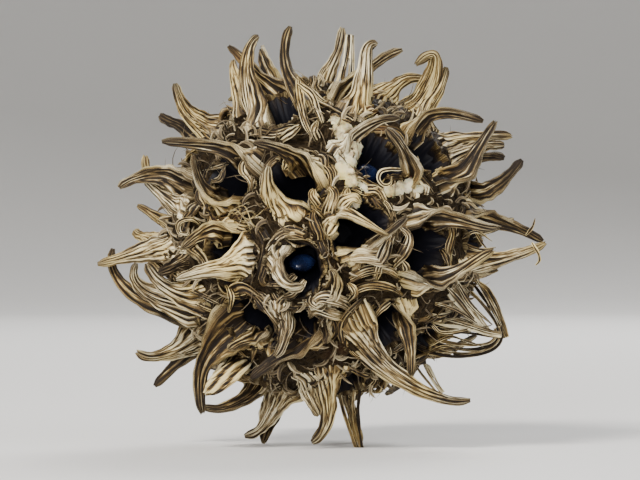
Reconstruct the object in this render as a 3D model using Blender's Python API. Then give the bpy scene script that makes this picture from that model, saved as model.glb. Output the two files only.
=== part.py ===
"""A sweetgum seed ball: a round woody head of fused capsules.

Each capsule opens as a dark chamber with curved, gutter-shaped beaks round its mouth.
Between the mouths lies a web of crumpled crust. A few glossy seeds are still lodged inside.
The front of the ball is seen along +Y, with +X to the right and +Z up. Lengths are in metres.
"""
import math
import random
from collections import namedtuple

import bmesh
import bpy
from mathutils import Vector

MM = 0.001

# Driving dimensions of the ball
BALL_CENTRE = Vector((0.08, 0.02, 17.6)) * MM
CRUST_RADIUS = 12.8 * MM
LARGEST_REACH = 18.9 * MM

# The chambers
MOUTH_SIDES = 7
CHAMBER_DEPTH = 5.6 * MM
CHAMBER_FLOOR_SHARE = 0.62
MOUTH_UNEVENNESS = 0.08

# The web of crust between the chambers
WEB_POINTS = 320
WEB_MARGIN = 0.5 * MM
WEB_LOWEST = -0.25 * MM
WEB_HIGHEST = 1.1 * MM

# The beaks: a gutter wraps half a mouth, and narrows to a rolled tip
BEAK_WALL = 0.7 * MM
BEAK_ROOT_DEPTH = 1.2 * MM
ROOT_HALF_WIDTH = 2.2 * MM
TIP_HALF_WIDTH = 0.4 * MM
ROOT_CURL = 1.4 * MM
TIP_CURL = 0.1 * MM
NARROWING = 2.0
FLATTENING = 1.3
TURNED_BY = 0.35
STRAIGHT_STATIONS = (0.25, 0.6, 1.0)
CURVED_STATIONS = (0.2, 0.45, 0.72, 1.0)
CURVED_DEG = 55

# The hidden side is filled by a rule
HIDDEN_COUNT = 16
HIDDEN_MOUTH_RADIUS = 2.1 * MM
HIDDEN_OUTLINE = 14.6 * MM
CANDIDATES = 900
SETTLING_ROUNDS = 12
SEED = 11

Beak = namedtuple("Beak", "foot leave arrive tip width turn", defaults=(1.0, 0.0))
Capsule = namedtuple("Capsule", "mouth radius beaks")

# The side of the ball that shows. All lengths are in millimetres from the ball's centre.
# A mouth is the point of the crust that it opens at. A beak has the point of the crust that it
# grows from, the two points that its back bends toward, its tip, its width against the usual one,
# and how far it turns its broad side to the front. The ball rests on a flat on the tip of one beak,
# and touches the floor with the tips of two more behind it.
FRONT_CAPSULES = (
    Capsule((-7.4, -9.4, 4.5), 2.2, (
        Beak((-8.3, -9.4, 2.6), (-9.7, -10, 2.9), (-10.8, -11.2, 4.6), (-10.7, -12, 6.8), 1, 0.5),
        Beak((-5.5, -9.4, 6.8), (-7, -9.4, 7.8), (-10, -9.3, 8.1), (-13.2, -9.3, 8.1), 1.1, 0.6),
    )),
    Capsule((-2.1, -11.8, 4.4), 2.2, (
        Beak((-3.3, -12.2, 1.9), (-4.4, -13.2, 2.6), (-4.7, -14.9, 4.2), (-4.4, -16, 5.8), 1.1, 0.6),
        Beak((-0.9, -11.2, 6.1), (-1.9, -12, 7.4), (-3.3, -13.4, 7.7), (-5.5, -14.3, 7.9), 1.1, 0.6),
    )),
    Capsule((-3.6, -6.8, 10.3), 2.1, (
        Beak((-5.6, -7, 9.1), (-6.4, -6.2, 11.9), (-6.8, -4.9, 16.8), (-5.4, -4, 17.1), 1, 0.8),
        Beak((-2.7, -3.9, 11.9), (-4.6, -3.2, 12.9), (-6, -1.9, 14.6), (-7.9, -1, 16.4), 1, 0.7),
        Beak((-1.1, -6.4, 11), (-2.1, -5.6, 12.7), (-3.8, -4, 15.3), (-2.7, -3, 17.9), 0.9, 0.7),
    )),
    Capsule((2.1, -5.7, 11.3), 1.9, (
        Beak((1.1, -4.2, 12.1), (2.4, -2.9, 13.4), (4.1, -0.6, 15), (6.8, 1, 16.2), 0.7, 0.6),
        Beak((3.1, -7, 10.3), (4.3, -6.4, 12.3), (3.2, -5.3, 17), (4.6, -4.5, 16.4), 1, 0.7),
    )),
    Capsule((0.8, 1.2, 12.8), 1.7, (
        Beak((-0.3, -1.2, 12.7), (0.4, -0.6, 13.9), (1.4, 0.7, 15.7), (1.7, 1.5, 17.9), 0.7, 0.5),
        Beak((1.6, -3.7, 12.1), (2.1, -2.8, 13.4), (2.3, -1.1, 15.5), (2.4, 0, 17.4), 0.9, 0.8),
        Beak((-0.8, -4.5, 12), (-0.8, -4.9, 12.6), (-0.8, -5.6, 13.2), (-0.7, -4, 13.8), 0.5, 0.8),
    )),
    Capsule((4.3, 5.4, 10.8), 1.9, (
        Beak((4.8, -2.4, 11.6), (5.6, -1.7, 12.9), (7.1, -0.4, 14.1), (9, 0.5, 13.7), 1, 0.7),
        Beak((5.8, 5.9, 9.8), (6.7, 8, 12.1), (6.6, 9, 12.9), (6.5, 9.5, 13.4), 0.9, 0),
    )),
    Capsule((8, 1.8, 9.8), 2.0, (
        Beak((7, 0, 10.7), (9.1, -0.6, 12.1), (11.1, -1.8, 17.4), (8.2, -2.5, 15), 1, 0.8),
        Beak((8.5, -1, 9.5), (9, -0.9, 11.5), (10.1, -0.7, 12.7), (10.6, -0.5, 14.6), 0.7, 0.6),
    )),
    Capsule((8.7, -6.7, 6.6), 2.2, (
        Beak((7.5, -6, 8.5), (8.8, -6.2, 11.2), (10.9, -6.7, 11), (13.4, -7, 9.9), 0.9, 0.4),
        Beak((10.3, -6.3, 4.2), (12, -6.2, 5.2), (13.1, -6.1, 7.4), (14.4, -6, 9.6), 1.05, 0.8),
    )),
    Capsule((9.6, 5.2, 6.7), 2.1, (
        Beak((10.1, -1.3, 7.8), (11.4, -0.3, 8.5), (13.9, 1.4, 9), (16.1, 2.5, 8.9), 1, 0.7),
        Beak((10.7, -3.1, 6.3), (12, -2.1, 7.6), (13.9, -0.2, 8.2), (15.6, 1, 8.1), 0.8, 0.5),
    )),
    Capsule((11.9, -0.8, 4.7), 2.0, (
        Beak((12.4, 0, 3.3), (14.4, -0.2, 3.6), (15.6, -0.7, 4.9), (17, -1, 6.7), 0.95, 0.8),
        Beak((11.3, 1, 6), (12.6, 1.1, 6.9), (13.9, 1.3, 7.6), (15.6, 1.5, 7), 0.6, 0.5),
    )),
    Capsule((8.3, -9.7, -0.7), 2.3, (
        Beak((7.9, -9.8, 2.2), (9.9, -10, 2.6), (11.6, -10.3, 1.3), (14.4, -10.5, 1), 1.2, 0.6),
        Beak((7.8, -9.4, -3.9), (10.1, -9.8, -4.1), (12, -10.5, -2.2), (13.9, -11, -1.1), 1.2, 0.6),
    )),
    Capsule((12.2, -3.8, -0.3), 2.0, (
        Beak((12, -3.6, 2.7), (13.9, -3.3, 2.3), (16.5, -2.6, 1.3), (18.7, -2.2, -0.1), 1, 0.6),
        Beak((11.4, -5.2, -2.8), (13.5, -4.7, -2.1), (16.5, -3.9, -1.8), (18.7, -3.4, -0.5), 1, 0.6),
    )),
    Capsule((11.4, -1.4, -5.7), 2.0, (
        Beak((10.4, -6.5, -3.7), (11.6, -6, -5.2), (12.8, -5.1, -6.8), (14, -4.5, -7.9), 1, 0.8),
        Beak((12.4, 0, -3.1), (13.9, -0.1, -4.4), (15, -0.3, -6.2), (15.6, -0.5, -8.3), 0.9, 0.8),
    )),
    Capsule((8.6, -4.8, -8.1), 2.1, (
        Beak((9.5, -5.3, -6.8), (10.9, -5.6, -6.6), (13.1, -6.1, -7.8), (14.9, -6.5, -8), 0.9, 0.7),
        Beak((8.7, -2.4, -9.1), (10.9, -3.1, -10.3), (15.6, -4.4, -10.5), (14.8, -5.2, -7.5), 0.75, 0.7),
    )),
    Capsule((4.6, -9.6, -7.1), 2.2, (
        Beak((7.1, -9.1, -5.5), (7.1, -9.5, -7.4), (7.3, -10.1, -9.1), (7.4, -10.5, -11), 0.75, 0.8),
        Beak((2, -10.7, -6.8), (3.4, -9.4, -10.5), (8.8, -7.1, -14.2), (12.4, -5.5, -13.6), 1.2, 0.7),
    )),
    Capsule((-2.1, -12.4, -2.5), 2.1, (
        Beak((-4, -12, -2), (-4.3, -13.1, -3.1), (-3.2, -15.1, -4.4), (-1.6, -16.5, -3.8), 1.2, 0.3),
        Beak((0.7, -11.7, -5), (1.2, -12.8, -4.2), (1.4, -14, -3.1), (0.7, -14.8, -2.5), 0.9, 0.7),
    )),
    Capsule((2.8, -12.5, 0.9), 2.3, (
        Beak((0.7, -12.6, 2.3), (2, -13.6, 3.3), (3.4, -15.3, 1.5), (5.3, -16.5, 0.4), 1.1, 0.5),
        Beak((2.8, -12.3, -2), (4.1, -13, -0.9), (5.2, -14.2, 0.1), (6.7, -15, 1.5), 0.9, 0.5),
    )),
    Capsule((4.4, -10.1, 6.6), 2.2, (
        Beak((1.1, -10.4, 7.4), (2.4, -10.6, 8.7), (4.1, -11.2, 10.2), (6.3, -11.5, 10), 0.7, 0.6),
        Beak((8.2, -8.9, 4.2), (7.6, -9.9, 5.7), (6.8, -11.8, 7.8), (5.3, -13, 9), 0.85, 0.8),
    )),
    Capsule((-7.3, -10.5, -1.3), 2.2, (
        Beak((-8, -9.9, 1.1), (-9.1, -10.3, 1.1), (-10.4, -11, 0.5), (-11.5, -11.5, -0.7), 0.9, 0.7),
        Beak((-6, -11.1, -2.1), (-7.4, -11.3, -2.3), (-9.6, -11.5, -2.6), (-11.9, -11.7, -3.3), 1.3, 0.7),
        Beak((-11.3, -6, -0.9), (-10.6, -8.3, -1.1), (-9.8, -10.4, -1.6), (-9.5, -10.3, -2.5), 0.55, 0.8),
    )),
    Capsule((-5.7, -9.1, -6.9), 2.2, (
        Beak((-7.4, -7.4, -7.4), (-10, -6.9, -9.1), (-10.7, -6.1, -11.9), (-10.1, -5.5, -14.3), 1.1, 0.7),
        Beak((-3.2, -11.1, -5.5), (-2.6, -11.4, -6.8), (-2.7, -11.7, -8.2), (-3.8, -12, -9.6), 0.7, 0.8),
        Beak((-5.1, -8.3, -8.3), (-6, -9, -8.1), (-6.8, -9.8, -8.5), (-7.7, -10.5, -9.1), 0.6, 0.8),
    )),
    Capsule((-6.4, -4, -10.3), 1.9, (
        Beak((-7.4, -1.7, -10.3), (-8.2, -2.9, -11), (-8.9, -5.1, -11.9), (-9.6, -6.5, -12.8), 0.9, 0.8),
        Beak((-4.9, 0, -11.8), (-5.7, -0.8, -13.3), (-7.9, -2.1, -15), (-9.9, -3, -14.3), 0.75, 0.6),
    )),
    Capsule((-1.6, -10.8, -6.8), 1.5, (
        Beak((-0.6, -9.7, -8.4), (-2.3, -10, -9.1), (-4.3, -10.6, -10.2), (-5.8, -11, -11.5), 1.1, 0.6),
        Beak((0.5, -10.9, -6.8), (0.7, -11.4, -7.3), (0.6, -12.4, -7.9), (0.4, -13, -8.5), 0.6, 0.6),
    )),
    Capsule((1.5, -4.5, -11.9), 2.0, (
        Beak((0, -6.9, -10.8), (0.3, -6.4, -12.9), (1.1, -5.6, -15.8), (-0.8, -5, -17.1), 1.2, 0.8),
        Beak((2.6, -1.2, -12.5), (2.1, -1.9, -13.8), (2.7, -3, -15.9), (3.2, -3.8, -17.9), 1.1, 0.8),
        Beak((-1.7, -5.6, -11.4), (-1.5, -5.8, -12.5), (-0.9, -6.2, -13.8), (-0.3, -6.5, -14.7), 0.6, 0.8),
    )),
    Capsule((-2, 1.8, -12.5), 2.1, (
        Beak((-3.3, 0, -12.4), (-4.3, -0.5, -13.9), (-4.4, -1.4, -16.3), (-6.5, -2, -16.7), 1.1, 0.8),
        Beak((-2.9, 4.4, -11.7), (-3.7, 4.2, -13.8), (-4.6, 2.5, -15.9), (-5.1, 0.5, -17.44), 0.9, 0),
    )),
    Capsule((-10.2, 0.8, -7.7), 2.1, (
        Beak((-10, 0, -8), (-11.7, -0.6, -8.6), (-13.4, -1.8, -11), (-15.5, -2.5, -9.7), 1.1, 0.8),
        Beak((-9.3, 1.9, -8.6), (-11.3, 1.8, -9.7), (-12.8, 1.6, -11), (-14.3, 1.5, -12.6), 0.8, 0.5),
    )),
    Capsule((-11.2, -3.2, -5.3), 1.8, (
        Beak((-10, -6.7, -4.4), (-12.1, -6.9, -4.8), (-13.8, -7.3, -3.9), (-14.6, -7.6, -2.1), 1, 0.6),
        Beak((-11.3, -1.7, -5.8), (-14.7, -1.7, -6.1), (-18.6, -1.9, -4.4), (-17.8, -2, -0.9), 0.8, 0.6),
        Beak((-10.9, -4.3, -5.2), (-13.8, -4.8, -5.2), (-16.6, -5.5, -3.9), (-15.6, -6, -2.1), 0.9, 0.6),
    )),
    Capsule((-12.6, -1.7, -1.8), 1.8, (
        Beak((-12.3, -3.5, -0.5), (-14.3, -3.1, -0.5), (-16.4, -2.4, -1.6), (-19, -2, -2.1), 1.2, 0.8),
        Beak((-10.9, -6.6, -1.5), (-11.5, -7, -2), (-12.6, -7.6, -2.3), (-13.5, -8, -2.8), 0.7, 0.7),
    )),
    Capsule((-11.5, 3.5, 4.4), 2.1, (
        Beak((-11.9, 2.4, 4), (-13.8, 3, 4.2), (-15.3, 3.2, 5), (-15.3, 3.2, 6.9), 0.7, 0.5),
        Beak((-12.4, 3, 0.1), (-13.4, 3.2, 0.9), (-14.7, 3, 2.1), (-15.9, 3, 2.8), 0.8, 0.5),
    )),
    Capsule((-11.3, -5, 3.4), 1.9, (
        Beak((-11.1, -3.9, 5), (-13, -3.8, 5.6), (-15.4, -3.6, 5.9), (-17.1, -3.5, 4.4), 1.15, 0.7),
        Beak((-11.5, -5.3, 2.1), (-12.6, -4.8, 2.9), (-13.8, -3.7, 3.8), (-15, -3, 5), 1, 0.8),
    )),
    Capsule((-9.6, -0.3, 8.4), 1.9, (
        Beak((-8.6, -2.7, 9.1), (-11.3, -2.8, 10), (-12, -2.9, 11.5), (-12.4, -3, 13.1), 0.95, 0.8),
        Beak((-9.9, 1.5, 8), (-11.3, 1.5, 9.1), (-12.6, 1.5, 10), (-13.9, 1.5, 10.6), 0.8, 0.7),
    )),
    Capsule((7.2, -0.3, -10.6), 2.0, (
        Beak((8.4, -0.6, -9.7), (8.7, -1, -10.8), (9.2, -1.6, -11.9), (10.1, -2, -13), 0.8, 0.7),
        Beak((6.4, 2.4, -10.8), (6.8, 4, -12.1), (6.3, 6, -12.9), (5.6, 7, -13.4), 0.9, 0),
    )),
    Capsule((3, 3.4, -12), 2.0, (
        Beak((1.5, 1.6, -12.6), (2, 2.5, -13.9), (2.9, 4.4, -15.9), (3.3, 4.6, -17.61), 1, 0),
        Beak((3.2, 5.2, -11.2), (3.1, 7.5, -12.9), (2.6, 9, -13.8), (2.4, 10, -14.2), 0.9, 0),
    )),
)

# Pale swollen growth on the crust: place in the front view and radius, in millimetres
GROWTHS = (
    ((1.6, 9.4), 1.0),
    ((2.0, 7.6), 1.15),
    ((1.9, 5.8), 1.1),
    ((2.8, 4.3), 0.9),
    ((5.9, 4.2), 0.95),
    ((7.4, 4.4), 1.0),
    ((2.5, 2.9), 0.8),
)

LUMP_SEGMENTS = 7
LUMP_RINGS = 5

# Faces that meet at less than this, in degrees, become one flat face after the fusing
FLAT_DEG = 0.5

# Corners of the flat that the ball rests on stand at least this far apart
FLAT_CORNER_GAP = 0.3 * MM

# Undeveloped seeds stuck to the wall of the chamber low on the right
PALE_SEEDS = (
    ((3.6, -5.4), 0.8),
    ((3.3, -7.2), 0.8),
    ((3.8, -8.6), 0.6),
)

# Lodged seeds: name, the capsule's number in the table above, depth below the crust and lean
LodgedSeed = namedtuple("LodgedSeed", "name capsule depth lean_deg")
LODGED_SEEDS = (
    LodgedSeed("seed_upper_right", 7, 2.4, 35),
    LodgedSeed("seed_upper_middle", 17, 2.4, -30),
    LodgedSeed("seed_left", 18, 2.6, 20),
    LodgedSeed("seed_middle", 15, 2.6, -10),
)
SEED_HALF_LENGTH = 1.6 * MM
SEED_HALF_WIDTH = 1.05 * MM
SEED_HALF_THICKNESS = 0.75 * MM

# Colours and roughness
WOOD_COLOUR = (0.33, 0.26, 0.16, 1)
WOOD_ROUGHNESS = 0.8
SEED_COLOUR = (0.02, 0.025, 0.06, 1)
SEED_ROUGHNESS = 0.15


def clear_scene():
    """Remove the objects that a new file starts with."""
    for item in list(bpy.data.objects):
        bpy.data.objects.remove(item, do_unlink=True)


def new_collection(name):
    """Add a collection to the scene."""
    collection = bpy.data.collections.new(name)
    bpy.context.scene.collection.children.link(collection)
    return collection


def new_material(name, colour, roughness):
    """Make a Principled material."""
    material = bpy.data.materials.new(name)
    material.use_nodes = True
    shader = material.node_tree.nodes["Principled BSDF"]
    shader.inputs["Base Color"].default_value = colour
    shader.inputs["Roughness"].default_value = roughness
    shader.inputs["Metallic"].default_value = 0.0
    return material


def new_object(name, bm, collection, material=None):
    """Turn a bmesh into an object with outward faces."""
    bmesh.ops.recalc_face_normals(bm, faces=bm.faces)
    mesh = bpy.data.meshes.new(name)
    bm.to_mesh(mesh)
    bm.free()
    item = bpy.data.objects.new(name, mesh)
    collection.objects.link(item)
    if material:
        mesh.materials.append(material)
    return item


def across(direction, toward):
    """The unit vector square to a direction that points most nearly toward another."""
    return (toward - direction * toward.dot(direction)).normalized()


def table_capsule(row):
    """A row of the table in metres, with its mouth as a direction."""
    beaks = []
    for beak in row.beaks:
        points = [Vector(point) * MM for point in beak[:4]]
        beaks.append(Beak(*points, beak.width, beak.turn))
    return Capsule(Vector(row.mouth).normalized(), row.radius * MM, beaks)


def spiral_directions(count):
    """Directions spread evenly over a sphere, on a golden spiral."""
    golden_angle = math.pi * (3 - math.sqrt(5))
    directions = []
    for index in range(count):
        height = 1 - 2 * (index + 0.5) / count
        ring = math.sqrt(1 - height * height)
        angle = golden_angle * index
        directions.append(Vector((ring * math.cos(angle), ring * math.sin(angle), height)))
    return directions


def hidden_beaks(mouth, draw):
    """Two opposite beaks that lean a little to one side, and stay within the front's outline."""
    side = across(mouth, Vector((draw.uniform(-1, 1), draw.uniform(-1, 1), draw.uniform(-1, 1))))
    lean_way = across(mouth, Vector((draw.uniform(-1, 1), draw.uniform(-1, 1), draw.uniform(-1, 1))))
    lean = lean_way * draw.uniform(0.5, 3.0) * MM
    opening = (HIDDEN_MOUTH_RADIUS + BEAK_WALL) / CRUST_RADIUS
    beaks = []
    for facing in (side, -side):
        height = draw.uniform(15.8, 17.8) * MM
        spread = draw.uniform(0.4, 2.6) * MM
        bend = draw.uniform(0.35, 0.75)
        tip = mouth * height + facing * spread + lean
        reach = min(tip.length, LARGEST_REACH)
        outline = math.hypot(tip.x, tip.z)
        if outline > HIDDEN_OUTLINE:
            tip.x *= HIDDEN_OUTLINE / outline
            tip.z *= HIDDEN_OUTLINE / outline
        tip = tip.normalized() * reach
        foot = (mouth * math.cos(opening) + facing * math.sin(opening)) * CRUST_RADIUS
        leave = foot + mouth * (bend * (tip - foot).length)
        beaks.append(Beak(foot, leave, tip.lerp(leave, 0.3), tip))
    return beaks


def hidden_mouths(shown):
    """Mouths spread evenly over what the table leaves free of the crust."""
    spots = spiral_directions(CANDIDATES)
    mouths = list(shown)
    for _ in range(HIDDEN_COUNT):
        mouths.append(max(spots, key=lambda spot: min((spot - mouth).length for mouth in mouths)))
    for _ in range(SETTLING_ROUNDS):
        cells = [Vector() for _ in mouths]
        for spot in spots:
            gaps = [(spot - mouth).length for mouth in mouths]
            cells[gaps.index(min(gaps))] += spot
        mouths = mouths[:len(shown)] + [cell.normalized() for cell in cells[len(shown):]]
    return mouths[len(shown):]


def all_capsules():
    """The table's capsules, and those that fill the hidden side."""
    draw = random.Random(SEED)
    capsules = [table_capsule(row) for row in FRONT_CAPSULES]
    for mouth in hidden_mouths([capsule.mouth for capsule in capsules]):
        capsules.append(Capsule(mouth, HIDDEN_MOUTH_RADIUS, hidden_beaks(mouth, draw)))
    return capsules


def rim_directions(capsule, draw):
    """The corners of a mouth, as directions from the ball's centre."""
    first = across(capsule.mouth, capsule.beaks[0].foot)
    second = capsule.mouth.cross(first)
    start = draw.uniform(0, 2 * math.pi)
    corners = []
    for index in range(MOUTH_SIDES):
        angle = start + 2 * math.pi * index / MOUTH_SIDES
        opening = capsule.radius / CRUST_RADIUS * (1 + draw.uniform(-MOUTH_UNEVENNESS, MOUTH_UNEVENNESS))
        outward = first * math.cos(angle) + second * math.sin(angle)
        corners.append(capsule.mouth * math.cos(opening) + outward * math.sin(opening))
    return corners


def web_directions(capsules):
    """Points of the crust that lie clear of every mouth."""
    clear = []
    for spot in spiral_directions(WEB_POINTS):
        if all((spot - capsule.mouth).length * CRUST_RADIUS > capsule.radius + WEB_MARGIN for capsule in capsules):
            clear.append(spot)
    return clear


def sink_chamber(bm, rim, mouth):
    """Run a chamber inwards from the ring of corners of its mouth."""
    inside = set(rim)
    lids = [face for face in bm.faces if inside.issuperset(face.verts)]
    bmesh.ops.delete(bm, geom=lids, context="FACES")
    floor = []
    for corner in rim:
        outward = corner.co - mouth * corner.co.dot(mouth)
        height = corner.co.dot(mouth) - CHAMBER_DEPTH
        floor.append(bm.verts.new(mouth * height + outward * CHAMBER_FLOOR_SHARE))
    join_rings(bm, rim, floor)
    bm.faces.new(floor)


def join_rings(bm, ring, following):
    """Fill the band between two rings of as many corners."""
    for index, corner in enumerate(ring):
        before = index - 1
        bm.faces.new((ring[before], corner, following[index], following[before]))


def crust_shape(capsules):
    """The body of the ball: its crumpled web and its open chambers."""
    draw = random.Random(SEED)
    bm = bmesh.new()
    rims = []
    for capsule in capsules:
        rims.append([bm.verts.new(corner * CRUST_RADIUS) for corner in rim_directions(capsule, draw)])
    web = [bm.verts.new(spot * CRUST_RADIUS) for spot in web_directions(capsules)]
    bmesh.ops.convex_hull(bm, input=bm.verts)
    for point in web:
        point.co *= 1 + draw.uniform(WEB_LOWEST, WEB_HIGHEST) / CRUST_RADIUS
    for rim, capsule in zip(rims, capsules):
        sink_chamber(bm, rim, capsule.mouth)
    bm.normal_update()
    bmesh.ops.triangulate(bm, faces=bm.faces)
    return bm


def bezier(points, share):
    """A point on a cubic curve, and the curve's direction there."""
    rest = 1 - share
    start, leave, arrive, end = points
    place = (start * rest ** 3 + leave * (3 * rest ** 2 * share)
             + arrive * (3 * rest * share ** 2) + end * share ** 3)
    heading = ((leave - start) * rest ** 2 + (arrive - leave) * (2 * rest * share)
               + (end - arrive) * share ** 2)
    return place, heading.normalized()


def gutter_section(place, inward, sideways, share, width):
    """The six corners of a beak's crescent section at a share of its length."""
    left = 1 - share
    half_width = TIP_HALF_WIDTH + (ROOT_HALF_WIDTH * width - TIP_HALF_WIDTH) * left ** NARROWING
    curl = TIP_CURL + (ROOT_CURL - TIP_CURL) * left ** FLATTENING
    slant = math.hypot(2 * curl, half_width)
    edge_in = BEAK_WALL * 2 * curl / slant
    edge_up = BEAK_WALL * half_width / slant
    corners = (
        (-half_width, curl),
        (0, 0),
        (half_width, curl),
        (half_width - edge_in, curl + edge_up),
        (0, BEAK_WALL),
        (edge_in - half_width, curl + edge_up),
    )
    return [place + sideways * across_by + inward * in_by for across_by, in_by in corners]


def beak_sections(capsule, beak, stations):
    """A beak's sections, from inside the crust to the tip, at shares of its length."""
    curve = beak[:4]
    heading = beak.foot.normalized()
    inward = across(heading, capsule.mouth * CRUST_RADIUS - beak.foot)
    broad_way = Vector((0, math.copysign(1, inward.y), 0))
    root = beak.foot - heading * BEAK_ROOT_DEPTH
    sections = [gutter_section(root, inward, heading.cross(inward), 0, beak.width)]
    for share in stations:
        place, following = bezier(curve, share)
        inward = heading.rotation_difference(following) @ inward
        heading = following
        turned = beak.turn * min(share / TURNED_BY, 1)
        facing = across(heading, inward * (1 - turned) + broad_way * turned)
        sections.append(gutter_section(place, facing, heading.cross(facing), share, beak.width))
    return sections


def beak_shape(capsule, beak):
    """One beak as a body: crescent sections along its curve."""
    bend_deg = math.degrees((beak.leave - beak.foot).angle(beak.tip - beak.arrive))
    stations = CURVED_STATIONS if bend_deg > CURVED_DEG else STRAIGHT_STATIONS
    sections = beak_sections(capsule, beak, stations)
    bm = bmesh.new()
    rings = [[bm.verts.new(corner) for corner in section] for section in sections]
    for ring, following_ring in zip(rings, rings[1:]):
        join_rings(bm, ring, following_ring)
    bm.faces.new(rings[0])
    bm.faces.new(rings[-1])
    bm.normal_update()
    bmesh.ops.triangulate(bm, faces=bm.faces)
    return bm


def lump_shape(place, radius):
    """A small round lump."""
    bm = bmesh.new()
    bmesh.ops.create_uvsphere(bm, u_segments=LUMP_SEGMENTS, v_segments=LUMP_RINGS, radius=radius)
    bmesh.ops.translate(bm, verts=bm.verts, vec=place)
    return bm


def crust_point(spot, depth):
    """A point of the front half of the crust, from its place in the front view in millimetres."""
    radius = CRUST_RADIUS / MM - depth
    away = -math.sqrt(max(radius ** 2 - spot[0] ** 2 - spot[1] ** 2, 0))
    return Vector((spot[0], away, spot[1])) * MM


def add_growths(collection):
    """Pale growth on the crust, and undeveloped seeds inside a chamber's wall."""
    for number, (spot, radius) in enumerate(GROWTHS):
        new_object(f"growth_{number}", lump_shape(crust_point(spot, 0), radius * MM), collection)
    for number, (spot, radius) in enumerate(PALE_SEEDS):
        new_object(f"pale_seed_{number}", lump_shape(crust_point(spot, 0.6), radius * MM), collection)


def join_collection(item, collection, solver):
    """Fuse every object of a collection into one object, and remove them."""
    union = item.modifiers.new("fuse", "BOOLEAN")
    union.operation = "UNION"
    union.operand_type = "COLLECTION"
    union.collection = collection
    union.solver = solver
    apply_modifiers(item)
    for member in list(collection.objects):
        bpy.data.objects.remove(member, do_unlink=True)
    bpy.data.collections.remove(collection)


def cut_below_floor(item):
    """Trim the lowest tip flat where it stands on the floor."""
    bm = bmesh.new()
    bm.from_mesh(item.data)
    everything = list(bm.verts) + list(bm.edges) + list(bm.faces)
    cut = bmesh.ops.bisect_plane(
        bm, geom=everything, plane_co=-BALL_CENTRE, plane_no=(0, 0, -1), clear_outer=True)
    corners = [part for part in cut["geom_cut"] if isinstance(part, bmesh.types.BMVert)]
    bmesh.ops.remove_doubles(bm, verts=corners, dist=FLAT_CORNER_GAP)
    open_edges = [edge for edge in bm.edges if edge.is_boundary]
    bmesh.ops.holes_fill(bm, edges=open_edges, sides=0)
    bmesh.ops.triangulate(bm, faces=bm.faces)
    bm.to_mesh(item.data)
    bm.free()


def apply_modifiers(item):
    """Replace an object's mesh by what its modifiers make of it."""
    graph = bpy.context.evaluated_depsgraph_get()
    old = item.data
    item.data = bpy.data.meshes.new_from_object(item.evaluated_get(graph))
    item.modifiers.clear()
    bpy.data.meshes.remove(old)


def keep_largest_body(item):
    """Fill hollows that the fusing sealed and drop loose scraps."""
    bm = bmesh.new()
    bm.from_mesh(item.data)
    unseen = set(bm.verts)
    bodies = []
    while unseen:
        stack = [unseen.pop()]
        body = set(stack)
        while stack:
            for edge in stack.pop().link_edges:
                for end in edge.verts:
                    if end not in body:
                        body.add(end)
                        stack.append(end)
        unseen -= body
        bodies.append(body)
    largest = max(bodies, key=len)
    scraps = [vert for vert in bm.verts if vert not in largest]
    bmesh.ops.delete(bm, geom=scraps, context="VERTS")
    bm.to_mesh(item.data)
    bm.free()


def merge_flat_faces(item):
    """Drop the edges that the fusing left inside flat faces."""
    bm = bmesh.new()
    bm.from_mesh(item.data)
    bmesh.ops.dissolve_limit(bm, angle_limit=math.radians(FLAT_DEG), verts=bm.verts, edges=bm.edges)
    bmesh.ops.triangulate(bm, faces=bm.faces)
    bm.to_mesh(item.data)
    bm.free()


def make_head(collection, material):
    """The woody head as one body: crust, chambers, beaks and growths."""
    capsules = all_capsules()
    head = new_object("seed_ball", crust_shape(capsules), collection, material)
    repeats = new_collection("repeats")
    for number, capsule in enumerate(capsules):
        for side, beak in enumerate(capsule.beaks):
            new_object(f"beak_{number}_{side}", beak_shape(capsule, beak), repeats)
    add_growths(repeats)
    join_collection(head, repeats, "MANIFOLD")
    cut_below_floor(head)
    keep_largest_body(head)
    merge_flat_faces(head)
    head.location = BALL_CENTRE
    return head


def make_lodged_seed(lodged, collection, material):
    """A glossy seed inside its chamber, clear of the wall."""
    mouth = Vector(FRONT_CAPSULES[lodged.capsule].mouth).normalized()
    bm = bmesh.new()
    bmesh.ops.create_icosphere(bm, subdivisions=3, radius=1)
    bmesh.ops.scale(bm, verts=bm.verts, vec=(SEED_HALF_WIDTH, SEED_HALF_THICKNESS, SEED_HALF_LENGTH))
    seed = new_object(lodged.name, bm, collection, material)
    seed.data.shade_smooth()
    seed.location = BALL_CENTRE + mouth * (CRUST_RADIUS - lodged.depth * MM)
    turn = mouth.to_track_quat("Z", "Y")
    lean = Vector((0, 0, 1)).rotation_difference(
        Vector((math.sin(math.radians(lodged.lean_deg)), 0, math.cos(math.radians(lodged.lean_deg)))))
    seed.rotation_mode = "QUATERNION"
    seed.rotation_quaternion = turn @ lean
    return seed


def main():
    """Build the seed ball and the seeds in it."""
    clear_scene()
    parts = new_collection("sweetgum_seed_ball")
    wood = new_material("woody head", WOOD_COLOUR, WOOD_ROUGHNESS)
    gloss = new_material("glossy seed", SEED_COLOUR, SEED_ROUGHNESS)
    make_head(parts, wood)
    for lodged in LODGED_SEEDS:
        make_lodged_seed(lodged, parts, gloss)


if __name__ == "__main__":
    main()
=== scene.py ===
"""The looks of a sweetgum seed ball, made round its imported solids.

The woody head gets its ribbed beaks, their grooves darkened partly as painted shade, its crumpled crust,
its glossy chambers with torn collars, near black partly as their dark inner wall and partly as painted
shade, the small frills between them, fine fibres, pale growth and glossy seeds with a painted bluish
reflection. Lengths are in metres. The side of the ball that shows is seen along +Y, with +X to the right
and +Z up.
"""
import logging
import math
import random
from dataclasses import dataclass, field
from enum import Enum
from typing import NamedTuple, Optional, Sequence

import bmesh
import bpy
import numpy as np
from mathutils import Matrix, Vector, noise


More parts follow.
